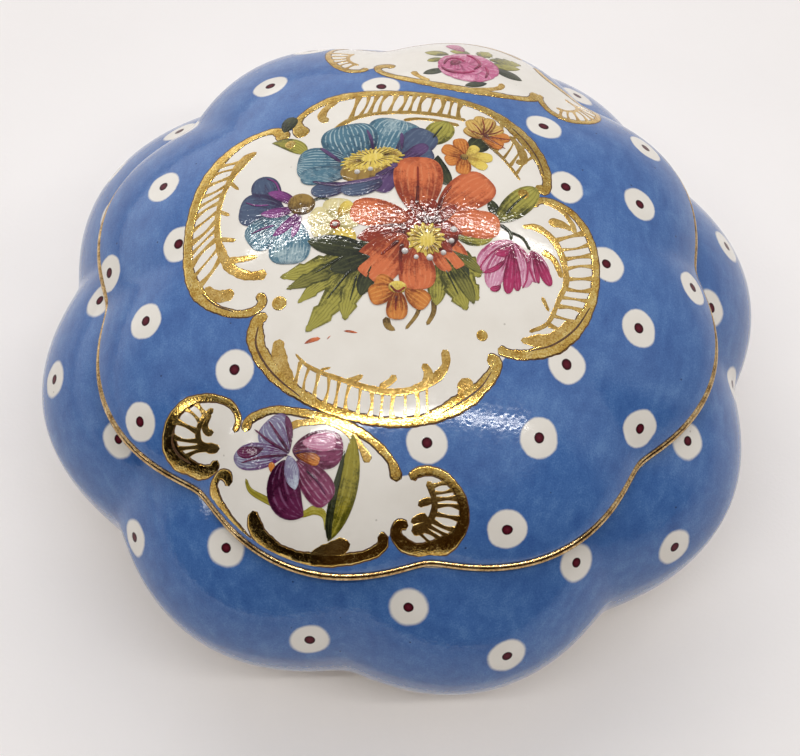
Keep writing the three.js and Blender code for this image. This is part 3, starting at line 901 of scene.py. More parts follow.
class Sheets:
    """Gathers many small painted shapes into one mesh piece that lies on the lid."""

    def __init__(self):
        self.points, self.faces, self.uvs, self.tints = [], [], [], []

    def grid(self, places, lift, uv=None, tint=0.0):
        """Adds a grid of places, rows by columns, lifted above the lid's skin."""
        rows, columns = places.shape[:2]
        first = sum(len(points) for points in self.points)
        lift = np.broadcast_to(lift, (rows, columns))
        self.points.append(on_lid(keep_on_dome(places), lift).reshape(-1, 3))
        if uv is None:
            uv = np.stack(np.meshgrid(np.linspace(0, 1, columns), np.linspace(0, 1, rows)), axis=-1)
        self.uvs.append(uv.reshape(-1, 2))
        self.tints.append(np.full(rows * columns, tint))
        for row in range(rows - 1):
            for column in range(columns - 1):
                corner = first + row * columns + column
                self.faces.append((corner, corner + 1, corner + columns + 1, corner + columns))

    def piece(self, name, material):
        """The piece, with its UVs and tints stored for the material."""
        mesh = new_piece(name, np.concatenate(self.points), self.faces, [material], "cover").data
        facing_down = sum(polygon.normal.z < 0 for polygon in mesh.polygons)
        if facing_down * 2 > len(mesh.polygons):
            mesh.flip_normals()
        corners = np.empty(len(mesh.loops), dtype=np.int32)
        mesh.loops.foreach_get("vertex_index", corners)
        layer = mesh.uv_layers.new(name="stroke")
        layer.data.foreach_set("uv", np.concatenate(self.uvs)[corners].ravel())
        store(mesh, "tint", "FLOAT", np.concatenate(self.tints))


def sideways(curve):
    """Unit directions to the left of a curve of places."""
    along = np.gradient(curve, axis=0)
    along /= np.maximum(np.linalg.norm(along, axis=1, keepdims=True), 1e-9)
    return np.stack([-along[:, 1], along[:, 0]], axis=-1)


def widened(middle, half, across):
    """Rows of places across a curve, at parts of its half width to each side."""
    return middle[:, None, :] + (half[:, None] * across)[..., None] * sideways(middle)[:, None, :]


def add_ribbon(sheets, knots, height, grow=0.0, wander=0.0, start=0.0, tint=0.0):
    """A brush stroke with round ends and a rounded top, along knots of (x, y, half width).

    grow widens it, wander makes its width waver, and start is how high the paint under it is.
    """
    rows = smooth_curve(knots)
    middle, half = rows[:, :2], np.abs(rows[:, 2])
    run = np.arange(len(half)) * CURVE_STEP
    phase = knots[0][0] * 1.7
    half = half * (1 + wander * (np.sin(run * 2.1 + phase) * 0.6 + np.sin(run * 5.3 + 2 * phase) * 0.4))
    to_end = np.minimum(run, run[::-1])
    tip = np.clip(to_end / np.maximum(half, 0.15), 0, 1)
    half = (half + grow) * np.sqrt(1 - (1 - tip) ** 2) + 0.02
    across = np.array([-1.0, -0.93, -0.75, -0.4, 0.0, 0.4, 0.75, 0.93, 1.0])
    bulge = np.array([0.0, 0.6, 0.88, 0.97, 1.0, 0.97, 0.88, 0.6, 0.0])
    lift = np.where(bulge > 0, start, -EDGE_SINK) + np.minimum(height, 0.5 * half)[:, None] * bulge
    sheets.grid(widened(middle, half, across), lift, tint=tint)


def rungs():
    """The short rungs between the outer and inner scrolls."""
    strokes = []
    for outer, (a, b), inner, (c, d), count, half in LADDERS:
        outer_curve, inner_curve = smooth_curve(outer), smooth_curve(inner)
        for i in range(count):
            part = (i + 0.5) / count
            start = at_fraction(outer_curve, a + (b - a) * part)
            end = at_fraction(inner_curve, c + (d - c) * part)
            side = np.array([end[1] - start[1], start[0] - end[0]]) * 0.06 * math.sin(4.7 * i)
            middle = (start + end) / 2 + side
            width = half * (1 + 0.25 * math.sin(2.9 * i + 1))
            strokes.append([(*start, width * 2.2), (*middle, width * 0.85), (*end, width * 1.6)])
    return strokes


def add_dab(sheets, centre, radius, height, squash=1.0, tilt=0.0, start=0.0, tint=0.0):
    """A round or oval dab, domed to its height, on the lid. tilt is in degrees."""
    angle = np.linspace(0, TURN, 25)
    rise = np.linspace(0, math.pi / 2, 6)
    turn = math.radians(tilt)
    long_way = np.array([math.cos(turn), math.sin(turn)])
    short_way = np.array([-math.sin(turn), math.cos(turn)]) * squash
    ring = np.cos(angle)[:, None] * long_way + np.sin(angle)[:, None] * short_way
    unit = (np.cos(rise) + 0.02)[:, None, None] * ring
    lift = start + height * np.sin(rise)
    lift[0] = -EDGE_SINK
    sheets.grid(np.asarray(centre) + radius * unit, lift[:, None], 0.5 + 0.5 * unit, tint)


def gilded_scrolls(gold, pale_gold, brown):
    """All the gold on the lid, and the brown line that edges the main scrolls."""
    gold_sheets, line_sheets, rung_sheets = Sheets(), Sheets(), Sheets()
    for knots in SCROLLS:
        add_ribbon(gold_sheets, knots, GOLD_HEIGHT, wander=0.1)
        add_ribbon(line_sheets, knots, LINE_LIFT, grow=0.16, wander=0.1)
    for knots in INNER_SCROLLS + SPROUTS:
        add_ribbon(rung_sheets, knots, GOLD_HEIGHT * 0.8, wander=0.12)
    for knots in rungs():
        add_ribbon(rung_sheets, knots, GOLD_HEIGHT * 0.7)
    for *centre, radius in GOLD_DOTS:
        add_dab(gold_sheets, centre, radius, DOT_HEIGHT, start=0.04)
    for knots in ENGRAVED:
        add_ribbon(line_sheets, knots, LINE_LIFT, start=GOLD_HEIGHT)
    gold_sheets.piece("lid_gold_scrolls", gold)
    rung_sheets.piece("lid_gold_lattice", pale_gold)
    line_sheets.piece("lid_scroll_outline", brown)


# ---------------------------------------------------------------- flowers

# The places of petals, leaves and strokes were read in the photo in the same way as the gold.


def add_petal(sheets, base, tip, width, layer, tint, belly=0.6, bend=0.0, point=0.45, notch=0.0, teeth=0.0):
    """One petal or leaf, from its base to its tip. belly is how far along it the widest place is.

    bend moves its middle to the left, as a part of its length. point is 0.4 for a round tip and 1 for a
    sharp one, and notch dips the middle of the tip, as in a heart. teeth is how deep a leaf's edge is cut.
    Higher layers lie over lower ones.
    """
    base, tip = np.array(base, float), np.array(tip, float)
    axis = tip - base
    left = np.array([-axis[1], axis[0]])
    v = 0.5 - 0.5 * np.cos(np.linspace(0, math.pi, 31 if teeth else 21))
    swell = v ** (math.log(0.5) / math.log(belly))
    half = 0.5 * width * np.clip(1 - np.abs(2 * swell - 1) ** 2.2, 0, None) ** point
    half *= 1 - teeth * ((v * 4.2) % 1)
    middle = base + v[:, None] * axis + (4 * bend * v * (1 - v))[:, None] * left
    u = np.linspace(-1, 1, 13)
    places = widened(middle, half, u)
    places -= (notch * v[:, None] ** 3 * (1 - np.abs(u)))[..., None] * axis
    uv = np.stack(np.meshgrid((u + 1) / 2, v), axis=-1)
    sheets.grid(places, 0.02 + PAINT_LAYER * (layer + 1 - u ** 2), uv, tint)


def paint(name, colour, petals=(), strokes=(), dabs=(), over=0.0, light=0.0):
    """One piece of painting on the lid: petals, thin strokes and round dabs, all of one enamel.

    A petal is its base, tip, width, layer, tint and options, and a dab its centre, radius, height and
    options. The strokes stand over paint that is that thick, and light is how pale they are.
    """
    sheets = Sheets()
    for *petal, options in petals:
        add_petal(sheets, *petal, **options)
    for stroke in strokes:
        add_ribbon(sheets, stroke, 0.06, start=over, tint=light)
    for *dab, options in dabs:
        add_dab(sheets, *dab, **options)
    sheets.piece(name, enamel(colour))


ROUND = {"point": 0.36, "belly": 0.66}
LEAF = {"point": 0.8, "belly": 0.5}
TOOTHED = {**LEAF, "teeth": 0.3}
BLADE = {"point": 0.9, "belly": 0.45}


def fringe(centre, inner, outer, count, half, squash=1.0, tilt=0.0):
    """Short strokes standing out round a centre, as stamens do. tilt is in degrees."""
    turn = math.radians(tilt)
    strokes = []
    for i in range(count):
        angle = TURN * (i + 0.3 * math.sin(5.3 * i)) / count
        far = outer * (1 + 0.1 * math.sin(3.1 * i))
        stroke = []
        for reach, width in ((inner, 0.8 * half), ((inner + far) / 2, half), (far, 0.4 * half)):
            x = reach * math.cos(angle)
            y = reach * squash * math.sin(angle)
            stroke.append((centre[0] + x * math.cos(turn) - y * math.sin(turn),
                           centre[1] + x * math.sin(turn) + y * math.cos(turn), width))
        strokes.append(stroke)
    return strokes


def anemone():
    """The blue flower at the top left of the bouquet."""
    paint("anemone_petals", "teal", [
        ((-4, 10.4), (-1, 18.8), 8.6, 1, 0.55, ROUND),
        ((-7.2, 9.6), (-9.3, 17.8), 8.4, 3, 0.1, ROUND),
        ((-8.2, 9.8), (-16, 10.3), 6.4, 4, 0.3, ROUND),
        ((-7.6, 8.4), (-15.4, 7.6), 3.4, 6, 0.2, ROUND),
    ])
    paint("anemone_shaded_petals", "slate", [
        ((-1.4, 10.2), (3.1, 16.6), 5.2, 2, 0.35, ROUND),
        ((-1.8, 9.8), (3.6, 12.4), 3.6, 4, 0.2, ROUND),
        ((-8.6, 5.8), (-13.7, 5.1), 2.7, 7, 0.1, {"bend": 0.06, "belly": 0.55}),
        ((-3.6, 6.6), (-9.4, 5), 2.9, 8, 0.15, {"bend": 0.06, "belly": 0.5}),
    ])
    paint("anemone_violet_petals", "violet", [
        ((-1.6, 10.2), (-4.3, 4.7), 3.8, 5, 0.1, ROUND),
        ((-0.6, 10.6), (2.8, 13.7), 2.2, 5, 0.2, {}),
    ], strokes=[
        [(-9.6, 10.1, 0.2), (-11.3, 11.8, 0.3), (-12.8, 13.2, 0.15)],
        [(-5, 12.3, 0.15), (-5.4, 14.6, 0.25), (-6.1, 16.6, 0.12)],
        [(-13.6, 6.7, 0.15), (-10.4, 6, 0.3), (-6.6, 6.5, 0.3), (-3.2, 7.4, 0.3)],
        [(-4.6, 7.4, 0.3), (-2.8, 8.6, 0.4), (-1.4, 9.8, 0.3)],
        [(-0.9, 12.6, 0.12), (-0.9, 14.8, 0.3), (-1, 16, 0.15)],
    ], over=0.17)
    paint("anemone_centre_shade", "ochre", dabs=[
        ((-6.2, 8.7), 3.6, 0.05, {"squash": 0.62, "tilt": 12, "start": 0.15, "tint": 0.6}),
    ])
    paint("anemone_centre", "yellow", dabs=[
        ((-5.1, 10.6), 4.0, 0.06, {"squash": 0.47, "tilt": 15, "start": 0.19, "tint": 0.5}),
    ], strokes=fringe((-5.1, 10.6), 3.2, 4.4, 42, 0.15, squash=0.5, tilt=15), over=0.22)
    paint("anemone_centre_lines", "ochre",
          strokes=fringe((-5.1, 10.9), 1.6, 3.7, 24, 0.055, squash=0.42, tilt=15), over=0.27)


def bell_flower():
    """The blue bell at the left of the bouquet."""
    paint("bell_petals", "slate", [
        ((-18, 2.8), (-20.9, 8.6), 4.2, 1, 0, {"point": 0.5, "belly": 0.6, "bend": 0.1}),
        ((-17.4, 2.2), (-24, 3), 5.6, 2, 0.05, ROUND),
    ])
    paint("bell_lower_petals", "teal", [
        ((-16.4, 0.8), (-22.3, -2.9), 5.4, 3, 0.05, ROUND),
        ((-16, 0.4), (-16.4, -7), 6, 4, 0.8, ROUND),
    ])
    paint("bell_veins", "orchid", [
        ((-15.8, 2.8), (-20, 5.4), 1.7, 5, 0, {**LEAF, "bend": -0.08}),
        ((-15.8, 2.2), (-20.8, 1.8), 1.7, 6, 0.1, {**LEAF, "bend": 0.06}),
        ((-15.4, 1.4), (-18.8, -2.2), 1.5, 6, 0, {**LEAF, "bend": 0.06}),
        ((-15, 1), (-16, -2.8), 1.1, 6, 0.1, LEAF),
    ], strokes=[
        [(-20.4, 8.2, 0.06), (-19, 7.2, 0.14), (-18.2, 5.2, 0.08)],
        [(-23.2, 4.2, 0.06), (-21.6, 3.4, 0.12), (-19.6, 3.2, 0.06)],
        [(-22, -1.4, 0.06), (-20.4, -0.8, 0.14), (-18.6, -0.4, 0.08)],
    ], over=0.12)
    paint("bell_calyx", "ochre", dabs=[
        ((-15, 2.9), 2.0, 0.06, {"squash": 0.92, "tilt": -20, "start": 0.14}),
    ])
    paint("bell_stem", "dark_green", strokes=[
        [(-13.4, 3.4, 0.3), (-12.2, 3.7, 0.22), (-10.6, 3.2, 0.2)],
    ])


def cream_flower():
    """The small pale flower in the middle left."""
    paint("cream_petals", "cream", [
        ((-10, -0.8), (-9.6, 3.6), 4.4, 2, 0, ROUND),
        ((-10, -0.8), (-13.6, 1.2), 3.4, 3, 0.2, ROUND),
        ((-10, -0.8), (-13, -2.6), 3.2, 3, 0.3, ROUND),
        ((-10, -0.8), (-6.8, 0.4), 3.2, 3, 0.1, ROUND),
    ])
    paint("cream_shaded_petals", "yellow", [
        ((-10, -0.6), (-8.6, -4.6), 4.4, 2, 0.1, ROUND),
        ((-9.6, 0.6), (-7.8, 2.8), 1.9, 4, 0, ROUND),
    ])
    paint("cream_centre", "red", dabs=[((-10, -0.9), 0.78, 0.04, {"start": 0.12, "tint": 0.7})])


def coral_flower():
    """The large coral flower in the middle, and the small one below it."""
    paint("coral_petals", "coral", [
        ((4.6, 1.4), (11.8, 8), 6.2, 3, 0.2, ROUND),
        ((4.6, 0), (13.4, -0.2), 4.8, 4, 0.35, ROUND),
        ((0.6, 0.2), (-7.9, 1.6), 4.8, 4, 0.1, ROUND),
        ((0, -2.6), (-5.4, -9.4), 6.6, 5, 0, ROUND),
        ((4.2, -2), (7.4, -7.7), 5, 5, 0.1, ROUND),
        ((1.8, 0.8), (1.5, 11.2), 7.2, 6, 0, {"point": 0.36, "belly": 0.66, "notch": 0.14}),
        ((1.6, -4.4), (1.9, -11.2), 5.2, 7, 0, ROUND),
    ])
    paint("coral_hollow", "red", dabs=[
        ((2.4, -0.9), 3.7, 0.03, {"squash": 0.85, "start": 0.05}),
        ((4.6, -2.4), 2.9, 0.02, {"start": 0.12}),
    ])
    paint("coral_shade", "red", [
        ((0.4, -1.4), (-6.8, -3.2), 3, 4, 0.1, LEAF),
        ((3.4, -1.4), (8, -1.8), 2, 6, 0.2, LEAF),
        ((3, -0.8), (0.6, 3.4), 1.6, 8, 0, LEAF),
        ((3.4, -0.8), (4, 3.4), 1.8, 8, 0, LEAF),
        ((3.8, -0.8), (7.2, 2.8), 1.7, 8, 0, LEAF),
        ((4.2, -2.4), (6.6, -5.2), 1.6, 8, 0, LEAF),
    ], strokes=[
        [(1.5, 2.4, 0.3), (1.6, 5.6, 0.2), (1.5, 9.4, 0.12)],
        [(-0.4, -4, 0.3), (-0.6, -6.6, 0.22), (-0.3, -9, 0.12)],
        [(-0.9, -3.6, 0.3), (-3.4, -6, 0.15)],
        [(4.6, 1.8, 0.3), (5.2, 4, 0.2), (6.4, 6.2, 0.1)],
    ], over=0.17)
    paint("coral_centre", "yellow", dabs=[
        ((2.9, -3.3), 2.3, 0.06, {"start": 0.18, "tint": 0.6}),
    ], strokes=fringe((2.9, -3.2), 1.2, 2.75, 15, 0.36), over=0.2)
    paint("coral_centre_lines", "ochre", strokes=fringe((3.1, -3.4), 1, 2.5, 15, 0.06), over=0.28)
    paint("coral_scribbles", "coral", strokes=[
        [(-13.5, -18.8, 0.08), (-12.5, -18.4, 0.3), (-11.3, -18.2, 0.2)],
        [(-8.1, -17.3, 0.1), (-7.2, -17.4, 0.16), (-6.2, -17.6, 0.06)],
        [(-10.4, -18.4, 0.08), (-9.9, -17.9, 0.06)],
    ])
    paint("small_coral_petals", "orange", [
        ((-1, -11.2), (-4.8, -12.4), 3.2, 7, 0.1, ROUND),
        ((-1, -11), (-4, -9.8), 2.4, 6, 0, ROUND),
        ((-0.8, -11.4), (-0.9, -15.7), 3, 8, 0, ROUND),
        ((0.2, -11.2), (3.4, -13.4), 3, 7, 0.15, ROUND),
    ])
    paint("small_coral_centre", "yellow", dabs=[((-0.9, -10.9), 1.3, 0.06, {"squash": 0.7, "start": 0.2})])
    paint("small_coral_lines", "red", strokes=[
        [(-2, -10.6, 0.14), (-0.9, -11.6, 0.2), (0.3, -10.8, 0.14)],
        [(-1, -12.2, 0.16), (-1.1, -14.4, 0.1)],
    ], over=0.2)


BEADS = [
    (-7.2, 8.2), (-5.3, 8.7), (0, -5.3), (1.6, -6.2), (3.5, -6.2), (5.4, -5.3), (6.5, -3.3), (6.8, -1.4),
    (-10, -0.9),
]


def enamel_beads():
    """The raised white beads that stand for stamens."""
    sizes = [0.44 + 0.07 * math.sin(3.7 * i) for i in range(len(BEADS))]
    dabs = [(bead, size, 0.42, {"start": 0.06}) for bead, size in zip(BEADS, sizes)]
    paint("white_enamel_beads", "white", dabs=dabs)


def bouquet_leaves():
    """The leaves and stems of the bouquet."""
    paint("bouquet_leaves", "green", [
        ((-6, -4.8), (-17.4, -8.9), 3.8, 1, 0, {**TOOTHED, "bend": 0.06}),
        ((-6.4, -7.2), (-14.7, -13), 2.6, 2, 0.1, {**TOOTHED, "bend": -0.04}),
        ((-5.8, -6.4), (-13.4, -17.2), 4.2, 3, 0.15, {**TOOTHED, "bend": 0.04}),
        ((-5.4, -7.4), (-8, -15.8), 3.6, 4, 0.1, {**TOOTHED, "bend": -0.06}),
        ((4.6, -7), (4.6, -13.4), 2.8, 2, 0, LEAF),
        ((5.4, -6.6), (8.8, -13.8), 3.8, 3, 0, TOOTHED),
        ((6, -6), (10.4, -12.2), 3.8, 2, 0, TOOTHED),
        ((6.8, -4.6), (10.7, -8.6), 3.4, 1, 0.05, TOOTHED),
        ((7.2, -2.6), (12.4, -2.2), 2.8, 1, 0.1, LEAF),
        ((2.6, 14), (5.7, 19), 4.2, 0, 0.15, {"point": 0.6, "belly": 0.55, "bend": -0.05}),
        ((13.1, 0.6), (18.8, 7.6), 3.9, 2, 0.05, {"point": 0.55, "belly": 0.55}),
        ((-20.1, 15.4), (-14.9, 12.4), 2.5, 1, 0.2, {"point": 0.6, "bend": 0.12}),
    ])
    paint("bouquet_olive_leaves", "olive", [
        ((-6, -5.8), (-16.4, -10.8), 2.9, 3, 0, {**TOOTHED, "bend": 0.02}),
        ((5.6, -6), (9.8, -12.8), 2.2, 5, 0, {**LEAF, "bend": 0.05}),
        ((6.6, -4.8), (11, -8), 1.6, 5, 0.1, LEAF),
    ])
    paint("bouquet_dark_leaves", "dark_green", [
        ((-5, -5.4), (-13.8, -3.5), 3.4, 4, 0, LEAF),
        ((-4.8, -6.2), (-10.4, -8.2), 3.2, 5, 0.05, LEAF),
        ((-4.6, -7.6), (-6, -12.2), 2.4, 5, 0, LEAF),
        ((4.4, 11.8), (6.2, 6.4), 2.5, 2, 0.1, {"point": 0.6, "bend": -0.1}),
        ((13.2, 1), (11.9, 4.4), 1.7, 1, 0, LEAF),
        ((7, -5.4), (8.8, -9.4), 2, 4, 0, LEAF),
        ((11.8, 16.6), (9.4, 13.5), 3.2, 1, 0, {"point": 0.5}),
        ((-18.4, 17.4), (-17.2, 20.6), 2.3, 1, 0, {"point": 0.5}),
    ], strokes=[
        [(13.4, 0.2, 0.25), (14.8, -0.9, 0.2), (15, -2.2, 0.2)],
        [(14.6, -0.8, 0.15), (16.6, -1.6, 0.15), (17.7, -3.4, 0.2)],
        [(-8.6, -6.2, 0.16), (-12.4, -8.6, 0.08)],
        [(-7.4, -8.2, 0.16), (-10.6, -12.6, 0.08)],
        [(-6.6, -9.2, 0.14), (-7.4, -13, 0.07)],
        [(5.8, -8, 0.12), (7.6, -11.6, 0.06)],
        [(14.2, 2, 0.16), (15.6, 4.2, 0.14), (17.4, 6.2, 0.08)],
        [(3.6, 15.2, 0.12), (5, 17.8, 0.06)],
    ], dabs=[
        ((-5.4, -6.6), 2.6, 0.02, {"squash": 1.2, "start": 0.04}),
        ((6.4, -6.2), 1.8, 0.02, {"start": 0.04}),
    ], over=0.12)
    paint("bouquet_stems", "ochre", strokes=[
        [(2.4, -12.8, 0.3), (1.9, -14.8, 0.28), (0.4, -17, 0.2)],
        [(4.2, -12.4, 0.4), (4.2, -14.4, 0.35), (3.3, -16.3, 0.25)],
        [(-2.4, -15.3, 0.55), (-2, -16.6, 0.5), (-1, -17.2, 0.2)],
    ])


def tulips():
    """The magenta tulips at the right."""
    paint("tulip_pale_petals", "blush", [
        ((15.3, -2.4), (10.8, -7.6), 3.4, 1, 0, {"point": 0.5, "bend": -0.08}),
        ((15.2, -2.6), (12.2, -10.2), 3.0, 2, 0.05, {"point": 0.5, "bend": -0.06}),
        ((15.4, -2.6), (16.8, -9.4), 2.8, 1, 0, {"point": 0.5, "bend": 0.08}),
        ((18, -3.4), (18.6, -8.4), 2.0, 1, 0, {"point": 0.5, "bend": -0.06}),
        ((18.2, -3.5), (20.2, -7.4), 1.5, 2, 0, {"point": 0.5, "bend": 0.04}),
    ])
    paint("tulip_petals", "magenta", [
        ((15.2, -2.8), (14.5, -10.7), 1.7, 4, 0, {"point": 0.5, "belly": 0.7}),
        ((15.3, -3), (15.9, -10.1), 1.3, 3, 0, {"point": 0.5, "belly": 0.75}),
        ((15.2, -2.5), (12.6, -4.6), 1.5, 3, 0, {"point": 0.6, "bend": 0.2}),
        ((14.4, -4.6), (10.9, -7.9), 0.8, 4, 0, {"point": 0.8, "bend": 0.14}),
        ((13.5, -9.4), (12, -10.2), 0.9, 5, 0, {"point": 0.6, "bend": 0.2}),
        ((18.2, -3.5), (20.6, -8.6), 1.6, 3, 0, {"point": 0.5, "belly": 0.65}),
        ((18, -3.5), (18.9, -8.5), 0.7, 3, 0, {"point": 0.5, "belly": 0.7}),
    ], strokes=[
        [(15.2, -2.6, 0.1), (12.6, -4.2, 0.14), (10.8, -6.6, 0.1), (10.8, -7.8, 0.1)],
        [(15.6, -2.6, 0.1), (17.2, -5.2, 0.16), (17.2, -8, 0.12), (16.6, -9.6, 0.1)],
        [(18, -3.4, 0.1), (17.6, -6, 0.14), (18.4, -8.4, 0.12)],
    ], over=0.08)


def orange_flowers():
    """The two small orange flowers at the upper right."""
    pompom = [(8.4, 18), (9, 19.8), (10.6, 20.9), (12.3, 20.6), (13.8, 19), (15, 17), (14, 14.9)]
    for name, colour, first in (("pompom_petals", "amber", 0), ("pompom_shaded_petals", "orange", 5)):
        paint(name, colour, [
            ((10.8, 16), tip, 2.2, 2 + i % 2, 0.15 * (i % 3), ROUND)
            for i, tip in enumerate(pompom[first:first + 5])
        ])
    paint("pompom_lines", "red", strokes=[
        [(10.9, 16.6, 0.1), ((10.8 + x) / 2 + 0.5, (16 + y) / 2, 0.1), (x + 0.3, y - 0.4, 0.05)]
        for x, y in pompom
    ], over=0.06)
    tips = [(7.4, 15.5), (5, 13.4), (5.5, 10.7), (8, 8.5)]
    paint("orange_petals", "orange", [
        ((8.3, 12), tip, 2.3, 2 + i % 2, 0.1, ROUND) for i, tip in enumerate(tips)
    ])
    paint("orange_yellow_petals", "yellow", [
        ((8.3, 12), (12.4, 12.2), 2, 2, 0, ROUND),
        ((8.3, 12), (11.5, 10), 1.8, 3, 0, ROUND),
        ((8.3, 12), (10.2, 14.2), 1.6, 2, 0, ROUND),
    ])
    paint("orange_centre", "ochre", dabs=[
        ((8.2, 11.8), 0.6, 0.05, {"start": 0.1}),
    ], strokes=[
        [(10.7, 15.9, 0.12), (12.4, 14, 0.14), (14.6, 11.6, 0.1)],
    ], over=0.04)


def iris():
    """The iris in the front panel."""
    paint("iris_upper_petals", "lilac", [
        ((-15.1, -33), (-18.2, -28.5), 4.8, 1, 0.15, {"point": 0.42, "belly": 0.68}),
        ((-15.2, -33), (-22.9, -32.2), 3.4, 2, 0.1, {"point": 0.6, "belly": 0.62, "bend": 0.03}),
        ((-15.1, -33.2), (-14, -37.4), 2, 7, 0.9, LEAF),
    ])
    paint("iris_upper_shade", "plum", [
        ((-18.6, -31.9), (-22.4, -31.6), 1.5, 3, 0.4, {"point": 0.6, "bend": 0.1}),
        ((-14.9, -32.4), (-15.6, -28.2), 0.9, 3, 0.3, {"point": 0.7, "bend": -0.05}),
    ], strokes=[
        [(-15, -32.8, 0.14), (-16.6, -30.6, 0.18), (-18, -28.6, 0.07)],
        [(-15.1, -32.9, 0.14), (-17.8, -31.2, 0.16), (-20, -29.4, 0.06)],
        [(-15.2, -33.2, 0.14), (-18.6, -33, 0.16), (-21.8, -33.2, 0.07)],
    ], over=0.1)
    paint("iris_right_petal", "wine", [
        ((-14.6, -32.6), (-7.6, -32.9), 4.9, 4, 0, {"point": 0.42, "belly": 0.62}),
        ((-14, -34), (-9.3, -39), 4.0, 5, 0.2, ROUND),
    ])
    # A pale pink patch at the top of the right petal: partly the petal's own paler paint, partly a painted
    # highlight where the front strip lamp's glare falls.
    paint("iris_right_pale_pink_and_painted_highlight", "blush", [
        ((-13.2, -31.8), (-8.6, -31.9), 2.3, 6, 0.4, ROUND),
    ])
    paint("iris_lower_petal", "plum", [
        ((-15.6, -33.7), (-12.8, -40.5), 4.6, 4, 0, {"point": 0.8, "belly": 0.48, "bend": -0.2}),
    ], strokes=[
        [(-12.6, -35.2, 0.1), (-11, -36.6, 0.16), (-9.8, -38.2, 0.08)],
        [(-14.4, -33.1, 0.14), (-12.8, -32.9, 0.14), (-11.2, -33.1, 0.06)],
    ], over=0.13)
    paint("iris_centre", "orange", [
        ((-14.2, -32.9), (-10.8, -34.3), 1.5, 7, -0.1, ROUND),
        ((-17, -35.4), (-17.6, -33.8), 0.9, 2, 0.4, ROUND),
    ])
    paint("iris_leaves", "lime", [
        ((-9.4, -43.4), (-6.4, -30.7), 2.9, 1, 0.15, {**BLADE, "bend": -0.08}),
    ], strokes=[
        [(-21.1, -35.2, 0.15), (-20.4, -36.7, 0.3), (-18.4, -38, 0.4), (-15.8, -39.3, 0.4),
         (-13.2, -40.3, 0.35), (-11.3, -39.9, 0.55), (-9.9, -40.6, 0.4), (-9.5, -42.4, 0.3)],
    ], light=0.7)
    paint("iris_leaf_shade", "dark_green", strokes=[
        [(-9.2, -43.3, 0.3), (-9.3, -41.4, 0.5), (-8.8, -38.6, 0.5), (-8, -35.6, 0.35), (-7.4, -33, 0.12)],
    ], over=0.05)


def rose():
    """The rose in the back panel, rings of petals round its heart."""
    petals = []
    for ring, (count, reach, width) in enumerate([(7, 4.8, 4.6), (6, 3.4, 3.6), (5, 2, 2.2)]):
        centre = (9 - 0.9 * ring, 34 + 0.3 * ring)
        for i in range(count):
            angle = TURN * (i + 0.35 * ring) / count
            tip = (centre[0] + reach * math.cos(angle), centre[1] + reach * 0.95 * math.sin(angle))
            tint = 0.35 - 0.2 * ring + 0.2 * (i % 3)
            petals.append((centre, tip, width, 2 + 2 * ring + i % 2, tint, ROUND))
    paint("rose_petals", "rose", petals)
    paint("rose_heart", "magenta", [((6.4, 33.8), (7.4, 35.6), 1.6, 8, -0.4, ROUND)], strokes=[
        [(5.2, 34, 0.14), (5.8, 35.8, 0.24), (7.4, 36.4, 0.24), (8.6, 35.2, 0.12)],
        [(4.8, 33, 0.12), (6, 31.9, 0.24), (8.2, 31.7, 0.24), (10, 32.6, 0.12)],
        [(9.8, 33, 0.12), (10.8, 34.8, 0.24), (10.2, 36.8, 0.2), (8.8, 38, 0.1)],
        [(11.6, 31, 0.12), (12, 33, 0.2), (11.6, 34.6, 0.1)],
    ], over=0.19)
    paint("rose_bud", "rose", [((8.4, 39.6), (6.2, 43), 2.4, 1, 0.1, ROUND)])
    paint("rose_leaves", "green", [
        ((6, 38), (2.2, 38.9), 2.2, 0, 0.1, LEAF),
        ((5, 36.4), (2.6, 35.2), 1.6, 0, 0, LEAF),
        ((11, 38), (12.4, 41), 3, 0, 0.25, TOOTHED),
        ((12.4, 37.6), (17.6, 38.4), 3, 0, 0.1, TOOTHED),
        ((12, 35.4), (17.3, 36.6), 2.4, 0, 0.2, LEAF),
        ((9.4, 39), (6.2, 39.6), 2, 0, 0.2, LEAF),
    ])
    paint("rose_dark_leaves", "dark_green", [
        ((13, 34.6), (17.4, 32.6), 2.3, 0, 0.1, LEAF),
        ((5.4, 32.6), (2, 31), 1.7, 0, 0.4, LEAF),
        ((11.8, 29.6), (8.4, 28.2), 1.5, 0, 0, LEAF),
    ])


# ---------------------------------------------------------------- floor, light and camera


def table():
    """A large pale sheet of paper under the box."""
    look = Look("table_paper", refraction=1.4)
    colour = look.ramp(look.noise(60, detail=4), (0.3, srgb(246, 242, 240)), (0.7, srgb(250, 246, 244)))
    look.finish(colour, 0.85, look.noise(0.6), 0.03)
    half = 1.5
    corners = [(-half, -half, 0), (half, -half, 0), (half, half, 0), (-half, half, 0)]
    mesh = bpy.data.meshes.new("table")
    mesh.from_pydata(corners, [], [(0, 1, 2, 3)])
    mesh.materials.append(look.material)
    sheet = bpy.data.objects.new("table", mesh)
    bpy.context.scene.collection.objects.link(sheet)


# Places and sizes in this part are in metres.
LIT_HEIGHT = 0.04                 # the lamps point at this height on the box's axis


